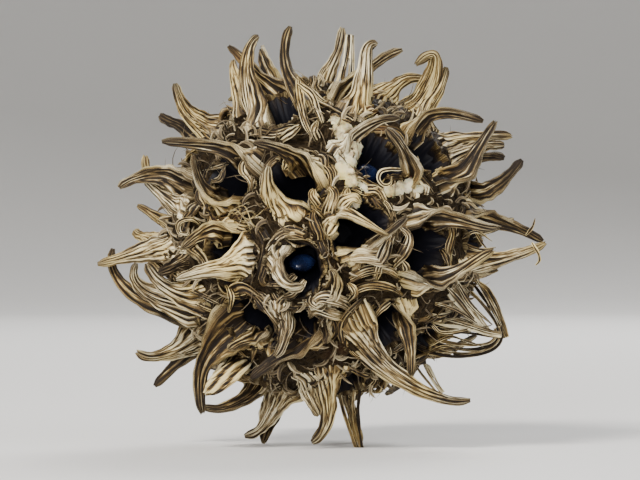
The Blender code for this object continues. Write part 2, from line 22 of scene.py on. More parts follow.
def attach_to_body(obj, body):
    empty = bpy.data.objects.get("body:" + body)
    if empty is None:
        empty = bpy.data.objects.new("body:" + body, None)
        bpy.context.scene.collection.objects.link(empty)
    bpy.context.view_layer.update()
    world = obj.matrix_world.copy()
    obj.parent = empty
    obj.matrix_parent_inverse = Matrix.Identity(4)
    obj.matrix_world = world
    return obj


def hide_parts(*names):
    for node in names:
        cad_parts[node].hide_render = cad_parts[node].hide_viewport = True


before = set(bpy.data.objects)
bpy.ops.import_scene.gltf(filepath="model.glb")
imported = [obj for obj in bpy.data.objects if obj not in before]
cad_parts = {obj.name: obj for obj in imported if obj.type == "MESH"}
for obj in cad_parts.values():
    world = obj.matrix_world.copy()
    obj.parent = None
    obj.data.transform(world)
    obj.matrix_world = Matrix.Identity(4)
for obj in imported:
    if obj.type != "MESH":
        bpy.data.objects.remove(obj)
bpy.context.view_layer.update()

LOG = logging.getLogger("seed_ball")
MM = 0.001

# The same values as in the part's source
BALL_CENTRE = Vector((0.08, 0.02, 17.6)) * MM
CRUST_RADIUS = 12.8 * MM
LARGEST_REACH = 18.9 * MM
SEED = 11


class Beak(NamedTuple):
    """A beak: four points of its back, its width against the usual one, and its turn to the front."""

    foot: tuple
    leave: tuple
    arrive: tuple
    tip: tuple
    width: float = 1.0
    turn: float = 0.0


class Capsule(NamedTuple):
    """A capsule: where its mouth opens on the crust, the mouth's radius, and its beaks."""

    mouth: tuple
    radius: float
    beaks: tuple


# The side of the ball that shows. All lengths are in millimetres from the ball's centre.
# A mouth is the point of the crust that it opens at. A beak has the point of the crust that it
# grows from, the two points that its back bends toward, its tip, its width against the usual one,
# and how far it turns its broad side to the front.
FRONT_CAPSULES = (
    Capsule((-7.4, -9.4, 4.5), 2.2, (
        Beak((-8.3, -9.4, 2.6), (-9.7, -10, 2.9), (-10.8, -11.2, 4.6), (-10.7, -12, 6.8), 1, 0.5),
        Beak((-5.5, -9.4, 6.8), (-7, -9.4, 7.8), (-10, -9.3, 8.1), (-13.2, -9.3, 8.1), 1.1, 0.6),
    )),
    Capsule((-2.1, -11.8, 4.4), 2.2, (
        Beak((-3.3, -12.2, 1.9), (-4.4, -13.2, 2.6), (-4.7, -14.9, 4.2), (-4.4, -16, 5.8), 1.1, 0.6),
        Beak((-0.9, -11.2, 6.1), (-1.9, -12, 7.4), (-3.3, -13.4, 7.7), (-5.5, -14.3, 7.9), 1.1, 0.6),
    )),
    Capsule((-3.6, -6.8, 10.3), 2.1, (
        Beak((-5.6, -7, 9.1), (-6.4, -6.2, 11.9), (-6.8, -4.9, 16.8), (-5.4, -4, 17.1), 1, 0.8),
        Beak((-2.9, -3.9, 11.9), (-4.6, -3.2, 12.9), (-6, -1.9, 14.6), (-7.9, -1, 16.4), 0.8, 0.7),
        Beak((-0.7, -6.4, 11), (-2.1, -5.6, 12.7), (-3.8, -4, 15.3), (-2.7, -3, 17.9), 0.65, 0.7),
    )),
    Capsule((2.1, -5.7, 11.3), 1.9, (
        Beak((1.1, -4.2, 12.1), (2.4, -2.9, 13.4), (4.1, -0.6, 15), (6.8, 1, 16.2), 0.5, 0.6),
        Beak((3.1, -7, 10.3), (4.3, -6.4, 12.3), (3.2, -5.3, 17), (4.6, -4.5, 16.4), 1, 0.7),
    )),
    Capsule((0.8, 1.2, 12.8), 1.7, (
        Beak((-0.3, -1.2, 12.7), (0.4, -0.6, 13.9), (1.4, 0.7, 15.7), (1.7, 1.5, 17.9), 0.7, 0.5),
        Beak((1.6, -3.7, 12.1), (2.1, -2.8, 13.4), (2.3, -1.1, 15.5), (2.4, 0, 17.4), 0.9, 0.8),
        Beak((-0.8, -4.5, 12), (-0.8, -4.9, 12.6), (-0.8, -5.6, 13.2), (-0.7, -4, 13.8), 0.5, 0.8),
    )),
    Capsule((4.3, 5.4, 10.8), 1.9, (
        Beak((4.8, -2.4, 11.6), (5.6, -1.7, 12.9), (7.1, -0.4, 14.1), (9, 0.5, 13.7), 1, 0.7),
        Beak((5.8, 5.9, 9.8), (6.7, 8, 12.1), (6.6, 9, 12.9), (6.5, 9.5, 13.4), 0.9, 0),
    )),
    Capsule((8, 1.8, 9.8), 2.0, (
        Beak((7, 0, 10.7), (9.1, -0.6, 12.1), (11.1, -1.8, 17.4), (8.2, -2.5, 15), 1, 0.8),
        Beak((8.5, -1, 9.5), (9, -0.9, 11.5), (10.1, -0.7, 12.7), (10.6, -0.5, 14.6), 0.7, 0.6),
    )),
    Capsule((8.7, -6.7, 6.6), 2.2, (
        Beak((7.1, -6, 8.9), (8.6, -6.2, 11.1), (10.9, -6.7, 11), (13.4, -7, 9.9), 0.65, 0.6),
        Beak((10.3, -6.3, 4.2), (12, -6.2, 5.2), (13.1, -6.1, 7.4), (14.4, -6, 9.6), 1.05, 0.8),
    )),
    Capsule((9.6, 5.2, 6.7), 2.1, (
        Beak((10.1, -1.3, 7.8), (11.4, -0.3, 8.5), (13.9, 1.4, 9), (16.1, 2.5, 8.9), 1, 0.7),
        Beak((10.7, -3.1, 6.3), (12, -2.1, 7.6), (13.9, -0.2, 8.2), (15.6, 1, 8.1), 0.8, 0.5),
    )),
    Capsule((11.9, -0.8, 4.7), 2.0, (
        Beak((12.4, 0, 3.3), (14.4, -0.2, 3.6), (15.6, -0.7, 4.9), (17, -1, 6.7), 0.95, 0.8),
        Beak((11.3, 1, 6), (12.6, 1.1, 6.9), (13.9, 1.3, 7.6), (15.6, 1.5, 7), 0.6, 0.5),
    )),
    Capsule((8.3, -9.7, -0.7), 2.3, (
        Beak((7.9, -9.8, 2.2), (9.9, -10, 2.6), (11.6, -10.3, 1.3), (14.4, -10.5, 1), 1.2, 0.6),
        Beak((7.8, -9.4, -3.9), (10.1, -9.8, -4.1), (12, -10.5, -2.2), (13.9, -11, -1.1), 1.2, 0.6),
    )),
    Capsule((12.2, -3.8, -0.3), 2.0, (
        Beak((12, -3.6, 2.7), (13.9, -3.3, 2.3), (16.5, -2.6, 1.3), (18.7, -2.2, -0.1), 1, 0.6),
        Beak((11.4, -5.2, -2.8), (13.5, -4.7, -2.1), (16.5, -3.9, -1.8), (18.7, -3.4, -0.5), 1, 0.6),
    )),
    Capsule((11.4, -1.4, -5.7), 2.0, (
        Beak((10.4, -6.5, -3.7), (11.6, -6, -5.2), (12.8, -5.1, -6.8), (14, -4.5, -7.9), 1, 0.8),
        Beak((12.4, 0, -3.1), (13.9, -0.1, -4.4), (15, -0.3, -6.2), (15.6, -0.5, -8.3), 0.9, 0.8),
    )),
    Capsule((8.6, -4.8, -8.1), 2.1, (
        Beak((9.5, -5.3, -6.8), (10.9, -5.6, -6.6), (13.1, -6.1, -7.8), (14.9, -6.5, -8), 0.9, 0.7),
        Beak((8.7, -2.4, -8.9), (10.9, -3.1, -9.8), (15.6, -4.4, -9.9), (14.8, -5.2, -7.5), 0.75, 0.7),
    )),
    Capsule((4.6, -9.6, -7.1), 2.2, (
        Beak((7.1, -9.1, -5.5), (7.1, -9.5, -7.4), (7.3, -10.1, -9.1), (7.4, -10.5, -11), 0.75, 0.8),
        Beak((2, -10.7, -6.8), (3.4, -9.4, -10.5), (8.8, -7.1, -14.2), (12.4, -5.5, -13.6), 1.2, 0.7),
    )),
    Capsule((-2.1, -12.4, -2.5), 2.1, (
        Beak((-4, -12, -2), (-4.3, -13.1, -3.1), (-3.2, -15.1, -4.4), (-1.6, -16.5, -3.8), 1.2, 0.3),
        Beak((0.7, -11.7, -5), (1.2, -12.8, -4.2), (1.4, -14, -3.1), (0.7, -14.8, -2.5), 0.9, 0.7),
    )),
    Capsule((2.8, -12.5, 0.9), 2.3, (
        Beak((0.7, -12.6, 2.3), (2, -13.6, 3.3), (3.4, -15.3, 1.5), (5.3, -16.5, 0.4), 1.1, 0.5),
        Beak((2.8, -12.3, -2), (4.1, -13, -0.9), (5.2, -14.2, 0.1), (6.7, -15, 1.5), 0.9, 0.5),
    )),
    Capsule((4.4, -10.1, 6.6), 2.2, (
        Beak((1.1, -10.4, 7.4), (2.4, -10.6, 8.7), (4.1, -11.2, 10.2), (6.3, -11.5, 10), 0.7, 0.6),
        Beak((8.2, -8.9, 4.2), (7.6, -9.9, 5.7), (6.8, -11.8, 7.8), (5.3, -13, 9), 0.85, 0.8),
    )),
    Capsule((-7.3, -10.5, -1.3), 2.2, (
        Beak((-8, -9.9, 1.1), (-9.1, -10.3, 1.1), (-10.4, -11, 0.5), (-11.5, -11.5, -0.7), 0.9, 0.7),
        Beak((-6, -11.1, -2.1), (-7.4, -11.3, -2.3), (-9.6, -11.5, -2.6), (-11.9, -11.7, -3.3), 1.3, 0.7),
        Beak((-11.3, -6, -0.9), (-10.6, -8.3, -1.1), (-9.8, -10.4, -1.6), (-9.5, -10.3, -2.5), 0.55, 0.8),
    )),
    Capsule((-5.7, -9.1, -6.9), 2.2, (
        Beak((-7.4, -7.4, -7.4), (-10, -6.9, -9.1), (-10.7, -6.1, -11.9), (-10.1, -5.5, -14.3), 1.1, 0.7),
        Beak((-3.2, -11.1, -5.5), (-2.6, -11.4, -6.8), (-2.7, -11.7, -8.2), (-3.8, -12, -9.6), 0.7, 0.8),
        Beak((-5.1, -8.3, -8.3), (-6, -9, -8.1), (-6.8, -9.8, -8.5), (-7.7, -10.5, -9.1), 0.6, 0.8),
    )),
    Capsule((-6.4, -4, -10.3), 1.9, (
        Beak((-7.4, -1.7, -10.3), (-8.2, -2.9, -11), (-8.9, -5.1, -11.9), (-9.6, -6.5, -12.8), 0.9, 0.8),
        Beak((-4.9, 0, -11.8), (-5.7, -0.8, -13.3), (-7.9, -2.1, -15), (-9.9, -3, -14.3), 0.75, 0.6),
    )),
    Capsule((-1.6, -10.8, -6.8), 1.5, (
        Beak((-0.6, -9.7, -8.4), (-2.3, -10, -9.1), (-4.3, -10.6, -10.2), (-5.8, -11, -11.5), 1.1, 0.6),
        Beak((0.5, -10.9, -6.8), (0.7, -11.4, -7.3), (0.6, -12.4, -7.9), (0.4, -13, -8.5), 0.6, 0.6),
    )),
    Capsule((1.5, -4.5, -11.9), 2.0, (
        Beak((0, -6.9, -10.8), (0.3, -6.4, -12.9), (1.1, -5.6, -15.8), (-0.8, -5, -17.1), 1.2, 0.8),
        Beak((2.6, -1.2, -12.5), (2.1, -1.9, -13.8), (2.7, -3, -15.9), (3.2, -3.8, -17.9), 1.1, 0.8),
        Beak((-1.7, -5.6, -11.4), (-1.5, -5.8, -12.5), (-0.9, -6.2, -13.8), (-0.3, -6.5, -14.7), 0.6, 0.8),
    )),
    Capsule((-2, 1.8, -12.5), 2.1, (
        Beak((-3.3, 0, -12.4), (-4.3, -0.5, -13.9), (-4.4, -1.4, -16.3), (-6.5, -2, -16.7), 1.1, 0.8),
        Beak((-2.9, 4.4, -11.7), (-3.7, 4.2, -13.8), (-4.6, 2.5, -15.9), (-5.1, 0.5, -17.44), 0.9, 0),
    )),
    Capsule((-10.2, 0.8, -7.7), 2.1, (
        Beak((-10, 0, -8), (-11.7, -0.6, -8.6), (-13.4, -1.8, -11), (-15.5, -2.5, -9.7), 1.1, 0.8),
        Beak((-9.3, 1.9, -8.6), (-11.3, 1.8, -9.7), (-12.8, 1.6, -11), (-14.3, 1.5, -12.6), 0.8, 0.5),
    )),
    Capsule((-11.2, -3.2, -5.3), 1.8, (
        Beak((-10, -6.7, -4.4), (-12.1, -6.9, -4.8), (-13.8, -7.3, -3.9), (-14.6, -7.6, -2.1), 1, 0.6),
        Beak((-11.3, -1.7, -5.8), (-14.7, -1.7, -6.1), (-18.6, -1.3, -4.4), (-17.8, -0.9, -0.9), 0.8, 0.6),
        Beak((-10.9, -4.3, -5.2), (-13.8, -4.8, -5.2), (-16.6, -5.5, -3.9), (-15.6, -6, -2.1), 0.9, 0.6),
    )),
    Capsule((-12.6, -1.7, -1.8), 1.8, (
        Beak((-12.3, -3.5, -0.5), (-14.3, -3.1, -0.5), (-16.4, -2.4, -1.6), (-19, -2, -2.1), 1.2, 0.8),
        Beak((-10.9, -6.6, -1.5), (-11.5, -7, -2), (-12.6, -7.6, -2.3), (-13.5, -8, -2.8), 0.7, 0.7),
    )),
    Capsule((-11.5, 3.5, 4.4), 2.1, (
        Beak((-11.9, 2.4, 4), (-13.8, 3, 4.2), (-15.3, 3.2, 5), (-15.3, 3.2, 6.9), 0.7, 0.5),
        Beak((-12.4, 3, 0.1), (-13.4, 3.2, 0.9), (-14.7, 3, 2.1), (-15.9, 3, 2.8), 0.8, 0.5),
    )),
    Capsule((-11.3, -5, 3.4), 1.9, (
        Beak((-11.1, -3.9, 5), (-13, -3.8, 5.6), (-15.4, -3.6, 5.9), (-17.1, -3.5, 4.4), 1.15, 0.7),
        Beak((-11.5, -5.3, 2.1), (-12.6, -4.8, 2.9), (-13.8, -3.7, 3.8), (-15, -3, 5), 1, 0.8),
    )),
    Capsule((-9.6, -0.3, 8.4), 1.9, (
        Beak((-8.6, -2.7, 9.1), (-11.3, -2.8, 10), (-12, -2.9, 11.5), (-12.4, -3, 13.1), 0.95, 0.8),
        Beak((-9.9, 1.5, 8), (-11.3, 1.5, 9.1), (-12.6, 1.5, 10), (-13.9, 1.5, 10.6), 0.8, 0.7),
    )),
    Capsule((7.2, -0.3, -10.6), 2.0, (
        Beak((8.4, -0.6, -9.7), (8.7, -1, -10.8), (9.2, -1.6, -11.9), (10.1, -2, -13), 0.8, 0.7),
        Beak((6.4, 2.4, -10.8), (6.8, 4, -12.1), (6.3, 6, -12.9), (5.6, 7, -13.4), 0.9, 0),
    )),
    Capsule((3, 3.4, -12), 2.0, (
        Beak((1.5, 1.6, -12.6), (2, 2.5, -13.9), (2.9, 4.4, -15.9), (3.3, 4.6, -17.61), 0.45, 0.5),
        Beak((3.2, 5.2, -11.2), (3.1, 7.5, -12.9), (2.6, 9, -13.8), (2.4, 10, -14.2), 0.9, 0),
    )),
)

# Pale swollen growth on the crust: place in the front view and radius, in millimetres
GROWTHS = (
    ((1.1, 9.5), 0.8),
    ((1.6, 9.0), 0.9),
    ((2.2, 8.1), 1.0),
    ((2.3, 7.2), 1.05),
    ((2.0, 6.3), 1.0),
    ((1.9, 5.4), 1.0),
    ((2.5, 4.6), 0.9),
    ((3.3, 4.1), 0.75),
    ((4.3, 3.8), 0.65),
    ((5.3, 3.9), 0.7),
    ((6.2, 4.1), 0.85),
    ((7.1, 4.4), 0.9),
    ((7.9, 4.2), 0.75),
    ((2.7, 3.1), 0.6),
)

# Undeveloped seeds stuck to the wall of the chamber low on the right
PALE_SEEDS = (
    ((3.6, -5.4), 0.8),
    ((3.3, -7.2), 0.8),
    ((3.8, -8.6), 0.6),
)


class LodgedSeed(NamedTuple):
    """A glossy seed: its node, its capsule in the table, its depth below the crust and its lean."""

    node: str
    capsule: int
    depth: float
    lean_deg: float


LODGED_SEEDS = (
    LodgedSeed("seed_upper_right", 7, 2.4, 35),
    LodgedSeed("seed_upper_middle", 17, 2.4, -30),
    LodgedSeed("seed_left", 18, 2.6, 20),
    LodgedSeed("seed_middle", 15, 2.6, -10),
)


class Tip(Enum):
    """How a beak ends."""

    WORN = "worn"
    TORN = "torn"
    CURLED = "curled"


@dataclass(frozen=True)
class BeakLook:
    """What sets one beak's surface off from the others.

    Attributes:
        pale: how cream the wood is, from 0, dark brown, to 1.
        ribs: how many ribs reach its tip; each splits in two toward its foot.
        tip: how it ends.
        open: whether only its ribs are left, with gaps between them.
    """

    pale: float
    ribs: int
    tip: Tip = Tip.WORN
    open: bool = False


# Beaks that look unlike their neighbours, by capsule and side in the table
BEAK_LOOKS = {
    (0, 0): BeakLook(0.75, 4),
    (0, 1): BeakLook(0.8, 4),
    (1, 0): BeakLook(1.0, 3),
    (1, 1): BeakLook(0.85, 4),
    (2, 2): BeakLook(0.65, 3),
    (3, 0): BeakLook(1.0, 3),
    (3, 1): BeakLook(0.9, 4),
    (4, 0): BeakLook(0.7, 3, Tip.TORN),
    (4, 1): BeakLook(0.8, 3, Tip.TORN, True),
    (7, 0): BeakLook(0.85, 3),
    (7, 1): BeakLook(0.7, 4, Tip.TORN),
    (9, 0): BeakLook(0.7, 4),
    (10, 0): BeakLook(0.85, 4, Tip.TORN),
    (10, 1): BeakLook(0.8, 4, Tip.TORN),
    (12, 0): BeakLook(0.8, 4, Tip.WORN, True),
    (12, 1): BeakLook(0.85, 3, Tip.WORN, True),
    (13, 0): BeakLook(0.75, 4, Tip.WORN, True),
    (13, 1): BeakLook(0.85, 3, Tip.WORN, True),
    (14, 0): BeakLook(0.8, 4, Tip.TORN),
    (14, 1): BeakLook(0.75, 4),
    (15, 0): BeakLook(1.0, 4, Tip.CURLED),
    (15, 1): BeakLook(0.95, 3),
    (16, 0): BeakLook(1.0, 4),
    (16, 1): BeakLook(0.75, 5, Tip.TORN),
    (17, 0): BeakLook(0.95, 3),
    (17, 1): BeakLook(0.85, 3),
    (18, 0): BeakLook(0.9, 4),
    (18, 1): BeakLook(0.95, 4),
    (18, 2): BeakLook(0.95, 3),
    (19, 1): BeakLook(0.8, 4),
    (19, 2): BeakLook(0.85, 3),
    (20, 0): BeakLook(1.0, 5, Tip.TORN),
    (20, 1): BeakLook(0.75, 4, Tip.TORN),
    (21, 0): BeakLook(0.4, 4),
    (22, 0): BeakLook(0.75, 4),
    (22, 1): BeakLook(0.8, 3, Tip.TORN, True),
    (22, 2): BeakLook(0.9, 3),
    (23, 0): BeakLook(0.8, 4),
    (24, 0): BeakLook(0.9, 4, Tip.TORN),
    (24, 1): BeakLook(0.35, 3),
    (25, 1): BeakLook(0.6, 3),
    (26, 0): BeakLook(0.9, 5),
    (26, 1): BeakLook(0.3, 4),
    (28, 0): BeakLook(0.95, 5),
    (28, 1): BeakLook(0.85, 4),
    (30, 0): BeakLook(0.2, 2, Tip.WORN, True),
}


class Frill(NamedTuple):
    """A ribbed strip on the front, at its points in the front view and their distance from the centre.

    The last five numbers are its half width, how many ribs it has, how cream it is, how far its edges
    curl up, and how far its end is torn.
    """

    points: tuple
    half_width: float
    ribs: int = 3
    pale: float = 0.6
    cup: float = 0.3
    torn: float = 0.3


# Frills, lobes, straps, hooks and threads that stand out in the front view, in millimetres
FRILLS = (
    # Cream frills round the foot of the cream beak by the middle
    Frill(((0.3, 1.4, 12.6), (0.6, 2.6, 13.9), (0.9, 3.6, 14.2), (0.6, 4.2, 13.8)), 0.55, 4, 0.85, 0.5),
    Frill(((1.2, 2.0, 12.8), (1.8, 2.9, 14.2), (2.5, 3.3, 14.5), (3.1, 3.0, 14.3)), 0.55, 4, 1.0, 0.4),
    Frill(((0.1, 1.9, 12.6), (-0.4, 2.8, 13.6), (-0.8, 3.5, 13.8), (-0.7, 4.0, 13.3)), 0.45, 3, 0.7, 0.6),
    Frill(((1.0, 1.5, 13.2), (0.7, 0.9, 14.0), (0.4, 0.4, 13.8)), 0.5, 2, 1.0, 0.3),
    Frill(((1.6, 2.4, 13.0), (1.9, 3.5, 14.1), (2.1, 4.1, 13.7)), 0.4, 3, 0.9, 0.4),
    # A smooth pale lobe in front of the foot of the beak right of it
    Frill(((5.4, -1.9, 12.8), (4.4, -1.7, 14.2), (3.3, -1.5, 14.4), (2.5, -1.6, 13.8)), 0.8, 0, 0.3, 0.5, 0.5),
    Frill(((4.8, -1.0, 12.9), (4.0, -0.9, 14.0), (3.4, -0.7, 13.9)), 0.45, 0, 0.5, 0.4, 0.5),
    # Crumpled cream frills below the middle
    Frill(((2.5, -5.9, 12.6), (1.3, -5.2, 14.0), (0.0, -4.9, 14.2), (-0.8, -5.4, 13.7)), 0.6, 4, 0.9, 0.5),
    Frill(((2.3, -6.7, 12.6), (0.8, -6.3, 14.0), (-0.5, -5.9, 14.0), (-1.0, -6.4, 13.4)), 0.5, 4, 0.8, 0.5),
    Frill(((2.1, -5.2, 12.8), (2.6, -4.4, 14.1), (2.2, -3.7, 14.0)), 0.4, 3, 0.85, 0.4),
    Frill(((-0.6, -4.4, 12.8), (-0.9, -5.2, 14.0), (-0.2, -5.7, 14.2), (0.3, -5.3, 13.9)), 0.35, 3, 0.8, 0.4),
    # Ridges of the crust right of the curled frill
    Frill(((2.2, -3.4, 13.0), (3.6, -2.7, 13.8), (5.2, -2.6, 13.9), (6.6, -3.4, 13.2)), 0.45, 4, 0.7, 0.4),
    Frill(((2.4, -4.4, 12.9), (3.9, -3.9, 13.7), (5.6, -4.1, 13.7), (6.8, -4.8, 12.9)), 0.4, 3, 0.5, 0.4),
    Frill(((1.0, -2.9, 12.9), (1.2, -3.9, 14.0), (1.0, -4.7, 14.1), (0.7, -5.2, 13.6)), 0.45, 2, 0.95, 0.4),
    Frill(((5.7, 0.4, 13.2), (5.1, -1.0, 14.2), (4.6, -2.2, 14.3), (4.4, -3.4, 13.4)), 0.5, 5, 0.7, 0.4),
    Frill(((5.9, -4.9, 12.9), (5.0, -5.6, 13.6), (4.2, -6.6, 13.2)), 0.35, 3, 0.6, 0.5),
    Frill(((-1.4, -3.4, 12.8), (-2.4, -4.6, 13.6), (-3.6, -4.9, 13.2)), 0.35, 3, 0.7, 0.5),
    Frill(((-2.2, -3.0, 12.8), (-3.2, -3.7, 13.7), (-4.6, -3.8, 13.2)), 0.35, 3, 0.55, 0.5),
    # Strands and a torn piece below the upright beak at the top
    Frill(((-2.6, 14.0, 15.1), (-1.6, 12.8, 14.6), (-0.4, 11.7, 14.0), (0.7, 11.1, 13.0)), 0.34, 3, 0.9, 0.3),
    Frill(((-2.1, 13.3, 14.9), (-1.9, 11.6, 14.2), (-1.5, 9.8, 13.8), (-0.8, 8.4, 12.9)), 0.4, 3, 0.8, 0.4),
    Frill(((-1.9, 12.9, 14.8), (-0.9, 11.9, 14.3), (-0.4, 10.6, 14.0), (0.1, 9.4, 13.0)), 0.32, 2, 0.85, 0.3),
    Frill(((-3.5, 8.0, 12.8), (-2.6, 8.7, 13.9), (-1.9, 9.3, 13.6)), 0.4, 2, 0.9, 0.4, 0.6),
    Frill(((-0.3, 8.0, 12.8), (-0.7, 8.9, 13.8), (-0.4, 9.7, 13.7)), 0.32, 2, 0.8, 0.4, 0.5),
    # Frills at the left rim of the wide mouth right of the middle
    Frill(((5.6, -2.4, 12.8), (6.7, -1.2, 13.8), (7.1, 0.1, 13.9), (6.5, 0.9, 13.5)), 0.45, 3, 0.65, 0.5),
    Frill(((6.1, -3.4, 12.8), (6.9, -2.6, 13.6), (6.6, -1.8, 13.6)), 0.35, 2, 0.6, 0.4),
    # The torn strap between the two mouths on the right, and threads across the farther one
    Frill(((10.6, 1.6, 13.0), (10.8, 0.4, 13.9), (10.5, -0.9, 13.8), (10.7, -2.3, 13.0)), 0.34, 3, 0.6, 0.5),
    Frill(((9.9, -0.9, 13.0), (10.3, -1.6, 13.6), (10.6, -2.6, 13.2)), 0.3, 2, 0.5, 0.5, 0.6),
    Frill(((11.5, -0.1, 13.0), (12.9, 0.6, 14.3), (14.3, -0.2, 15.2)), 0.12, 1, 0.5, 0.0, 0.0),
    Frill(((11.8, -0.3, 13.0), (13.2, -0.9, 14.4), (14.6, -0.7, 15.5)), 0.14, 1, 0.45, 0.0, 0.0),
    Frill(((12.6, 1.2, 13.4), (13.4, -0.3, 14.4), (14.5, -1.5, 15.2)), 0.1, 1, 0.4, 0.0, 0.0),
    # Strands of the open basket low on the right
    Frill(((10.4, -4.0, 13.2), (11.9, -5.8, 14.6), (13.6, -7.8, 16.2)), 0.22, 2, 0.6, 0.2, 0.2),
    Frill(((11.4, -3.8, 13.4), (12.4, -5.5, 14.8), (14.3, -7.2, 16.6)), 0.22, 2, 0.65, 0.2, 0.2),
    Frill(((11.9, -3.8, 13.4), (12.4, -4.4, 14.2), (12.0, -4.9, 14.0)), 0.12, 1, 0.7, 0.0, 0.0),
    Frill(((9.4, -5.4, 13.4), (11.2, -6.0, 14.6), (13.8, -7.7, 16.3)), 0.2, 2, 0.5, 0.2, 0.2),
    Frill(((9.2, -7.2, 13.6), (10.1, -7.9, 14.6), (12.6, -7.6, 15.8), (14.2, -7.3, 16.6)), 0.2, 2, 0.6, 0.2, 0.2),
    Frill(((9.0, -9.0, 14.0), (10.6, -8.2, 14.8), (11.9, -8.5, 15.6), (13.6, -9.1, 16.9)), 0.12, 1, 0.5, 0.0, 0.0),
    Frill(((8.8, -9.6, 14.1), (10.2, -9.0, 15.0), (12.0, -9.4, 15.9), (13.9, -9.5, 17.2)), 0.1, 1, 0.45, 0.0, 0.0),
    Frill(((13.0, -3.4, 13.8), (14.3, -5.6, 15.7), (15.4, -7.8, 17.5)), 0.14, 1, 0.5, 0.0, 0.0),
    # Torn pieces at the left rim of the mouth high on the left, and the strap right of it
    Frill(((-10.2, 5.6, 12.6), (-9.0, 5.9, 13.4), (-7.9, 6.2, 13.3)), 0.35, 3, 0.7, 0.4, 0.6),
    Frill(((-9.6, 4.6, 12.6), (-8.5, 4.9, 13.4), (-8.1, 5.9, 13.5)), 0.3, 3, 0.6, 0.4, 0.6),
    Frill(((-4.9, 6.2, 12.9), (-6.2, 6.4, 13.7), (-6.5, 5.6, 13.7), (-5.9, 4.6, 13.5), (-6.1, 3.2, 12.7)),
          0.4, 3, 0.95, 0.4, 0.5),
    Frill(((-2.4, 7.2, 12.8), (-2.8, 6.3, 13.5), (-3.1, 5.8, 13.2)), 0.4, 2, 0.6, 0.4, 0.5),
    # Curled ends: one on the far left, one by the growth
    Frill(((-10.2, 1.2, 13.2), (-10.9, 1.6, 14.1), (-11.9, 1.3, 14.3), (-11.9, 0.5, 14.2), (-11.2, 0.4, 14.2),
           (-11.1, 0.9, 14.1)), 0.22, 2, 0.8, 0.4, 0.1),
    Frill(((7.2, 5.8, 12.9), (6.3, 5.7, 14.1), (5.5, 5.7, 14.5), (4.8, 5.5, 14.6), (4.6, 4.9, 14.6), (5.0, 4.4, 14.6),
           (5.6, 4.5, 14.6), (5.7, 5.1, 14.6)), 0.17, 1, 1.0, 0.2, 0.1),
    Frill(((6.6, 5.0, 13.4), (5.9, 5.0, 14.1), (5.3, 5.0, 14.3)), 0.3, 3, 0.2, 0.5, 0.2),
    # Pale threads, like old web, on the crust left of the middle
    Frill(((-8.2, 2.6, 13.2), (-7.0, 2.0, 14.3), (-5.8, 2.2, 14.2), (-4.9, 1.4, 13.3)), 0.05, 1, 0.7, 0.0, 0.0),
    Frill(((-8.0, 1.6, 13.2), (-7.2, 2.4, 14.2), (-6.1, 1.6, 14.4), (-5.2, 2.3, 13.3)), 0.05, 1, 0.7, 0.0, 0.0),
    Frill(((-7.6, 2.9, 13.2), (-6.6, 1.5, 14.3), (-5.5, 1.8, 14.2), (-4.6, 2.6, 13.3)), 0.04, 1, 0.8, 0.0, 0.0),
    Frill(((-7.9, 2.1, 13.4), (-6.4, 2.7, 14.4), (-5.7, 1.2, 14.2), (-4.8, 0.9, 13.3)), 0.04, 1, 0.8, 0.0, 0.0),
    Frill(((-6.9, 3.2, 13.2), (-6.7, 2.2, 14.4), (-6.0, 1.1, 14.2), (-5.9, 0.3, 13.3)), 0.04, 1, 0.6, 0.0, 0.0),
    # Hooks by the farthest beak on the right
    Frill(((17.2, 0.3, 17.6), (17.8, 1.0, 18.1), (18.0, 1.7, 18.4)), 0.12, 1, 0.4, 0.0, 0.2),
    Frill(((17.7, -0.3, 18.1), (18.2, -1.1, 18.6), (18.4, -1.8, 18.7), (18.1, -2.2, 18.5)), 0.17, 1, 0.8, 0.0, 0.2),
    # A flat cream wedge over the beaks low on the left
    Frill(((-6.3, -10.2, 13.4), (-7.4, -11.1, 15.2), (-9.0, -12.3, 17.0), (-9.6, -12.8, 17.6)), 0.85, 6, 1.0, 0.1, 0.6),
    # Brown strands over the web low on the left
    Frill(((-12.0, -4.0, 13.2), (-10.0, -4.7, 14.2), (-8.3, -5.5, 13.4)), 0.25, 2, 0.35, 0.2, 0.2),
    Frill(((-11.4, -5.0, 13.2), (-9.8, -5.7, 14.0), (-8.2, -6.3, 13.2)), 0.25, 2, 0.4, 0.2, 0.2),
    Frill(((-7.9, -3.8, 13.2), (-7.5, -4.9, 14.0), (-7.8, -6.2, 13.2)), 0.25, 2, 0.6, 0.2, 0.2),
)


def across(direction: Vector, toward: Vector) -> Vector:
    """The unit vector square to a direction that points most nearly toward another."""
    return (toward - direction * toward.dot(direction)).normalized()


def spiral_directions(count: int) -> list[Vector]:
    """Directions spread evenly over a sphere, on a golden spiral.

    Args:
        count: how many.

    Returns:
        The unit vectors.
    """
    golden_angle = math.pi * (3 - math.sqrt(5))
    directions = []
    for index in range(count):
        height = 1 - 2 * (index + 0.5) / count
        ring = math.sqrt(1 - height * height)
        angle = golden_angle * index
        directions.append(Vector((ring * math.cos(angle), ring * math.sin(angle), height)))
    return directions


def ease(values: np.ndarray, low: float, high: float) -> np.ndarray:
    """Go smoothly from 0 at a low value to 1 at a high one."""
    share = np.clip((values - low) / (high - low), 0, 1)
    return share * share * (3 - 2 * share)


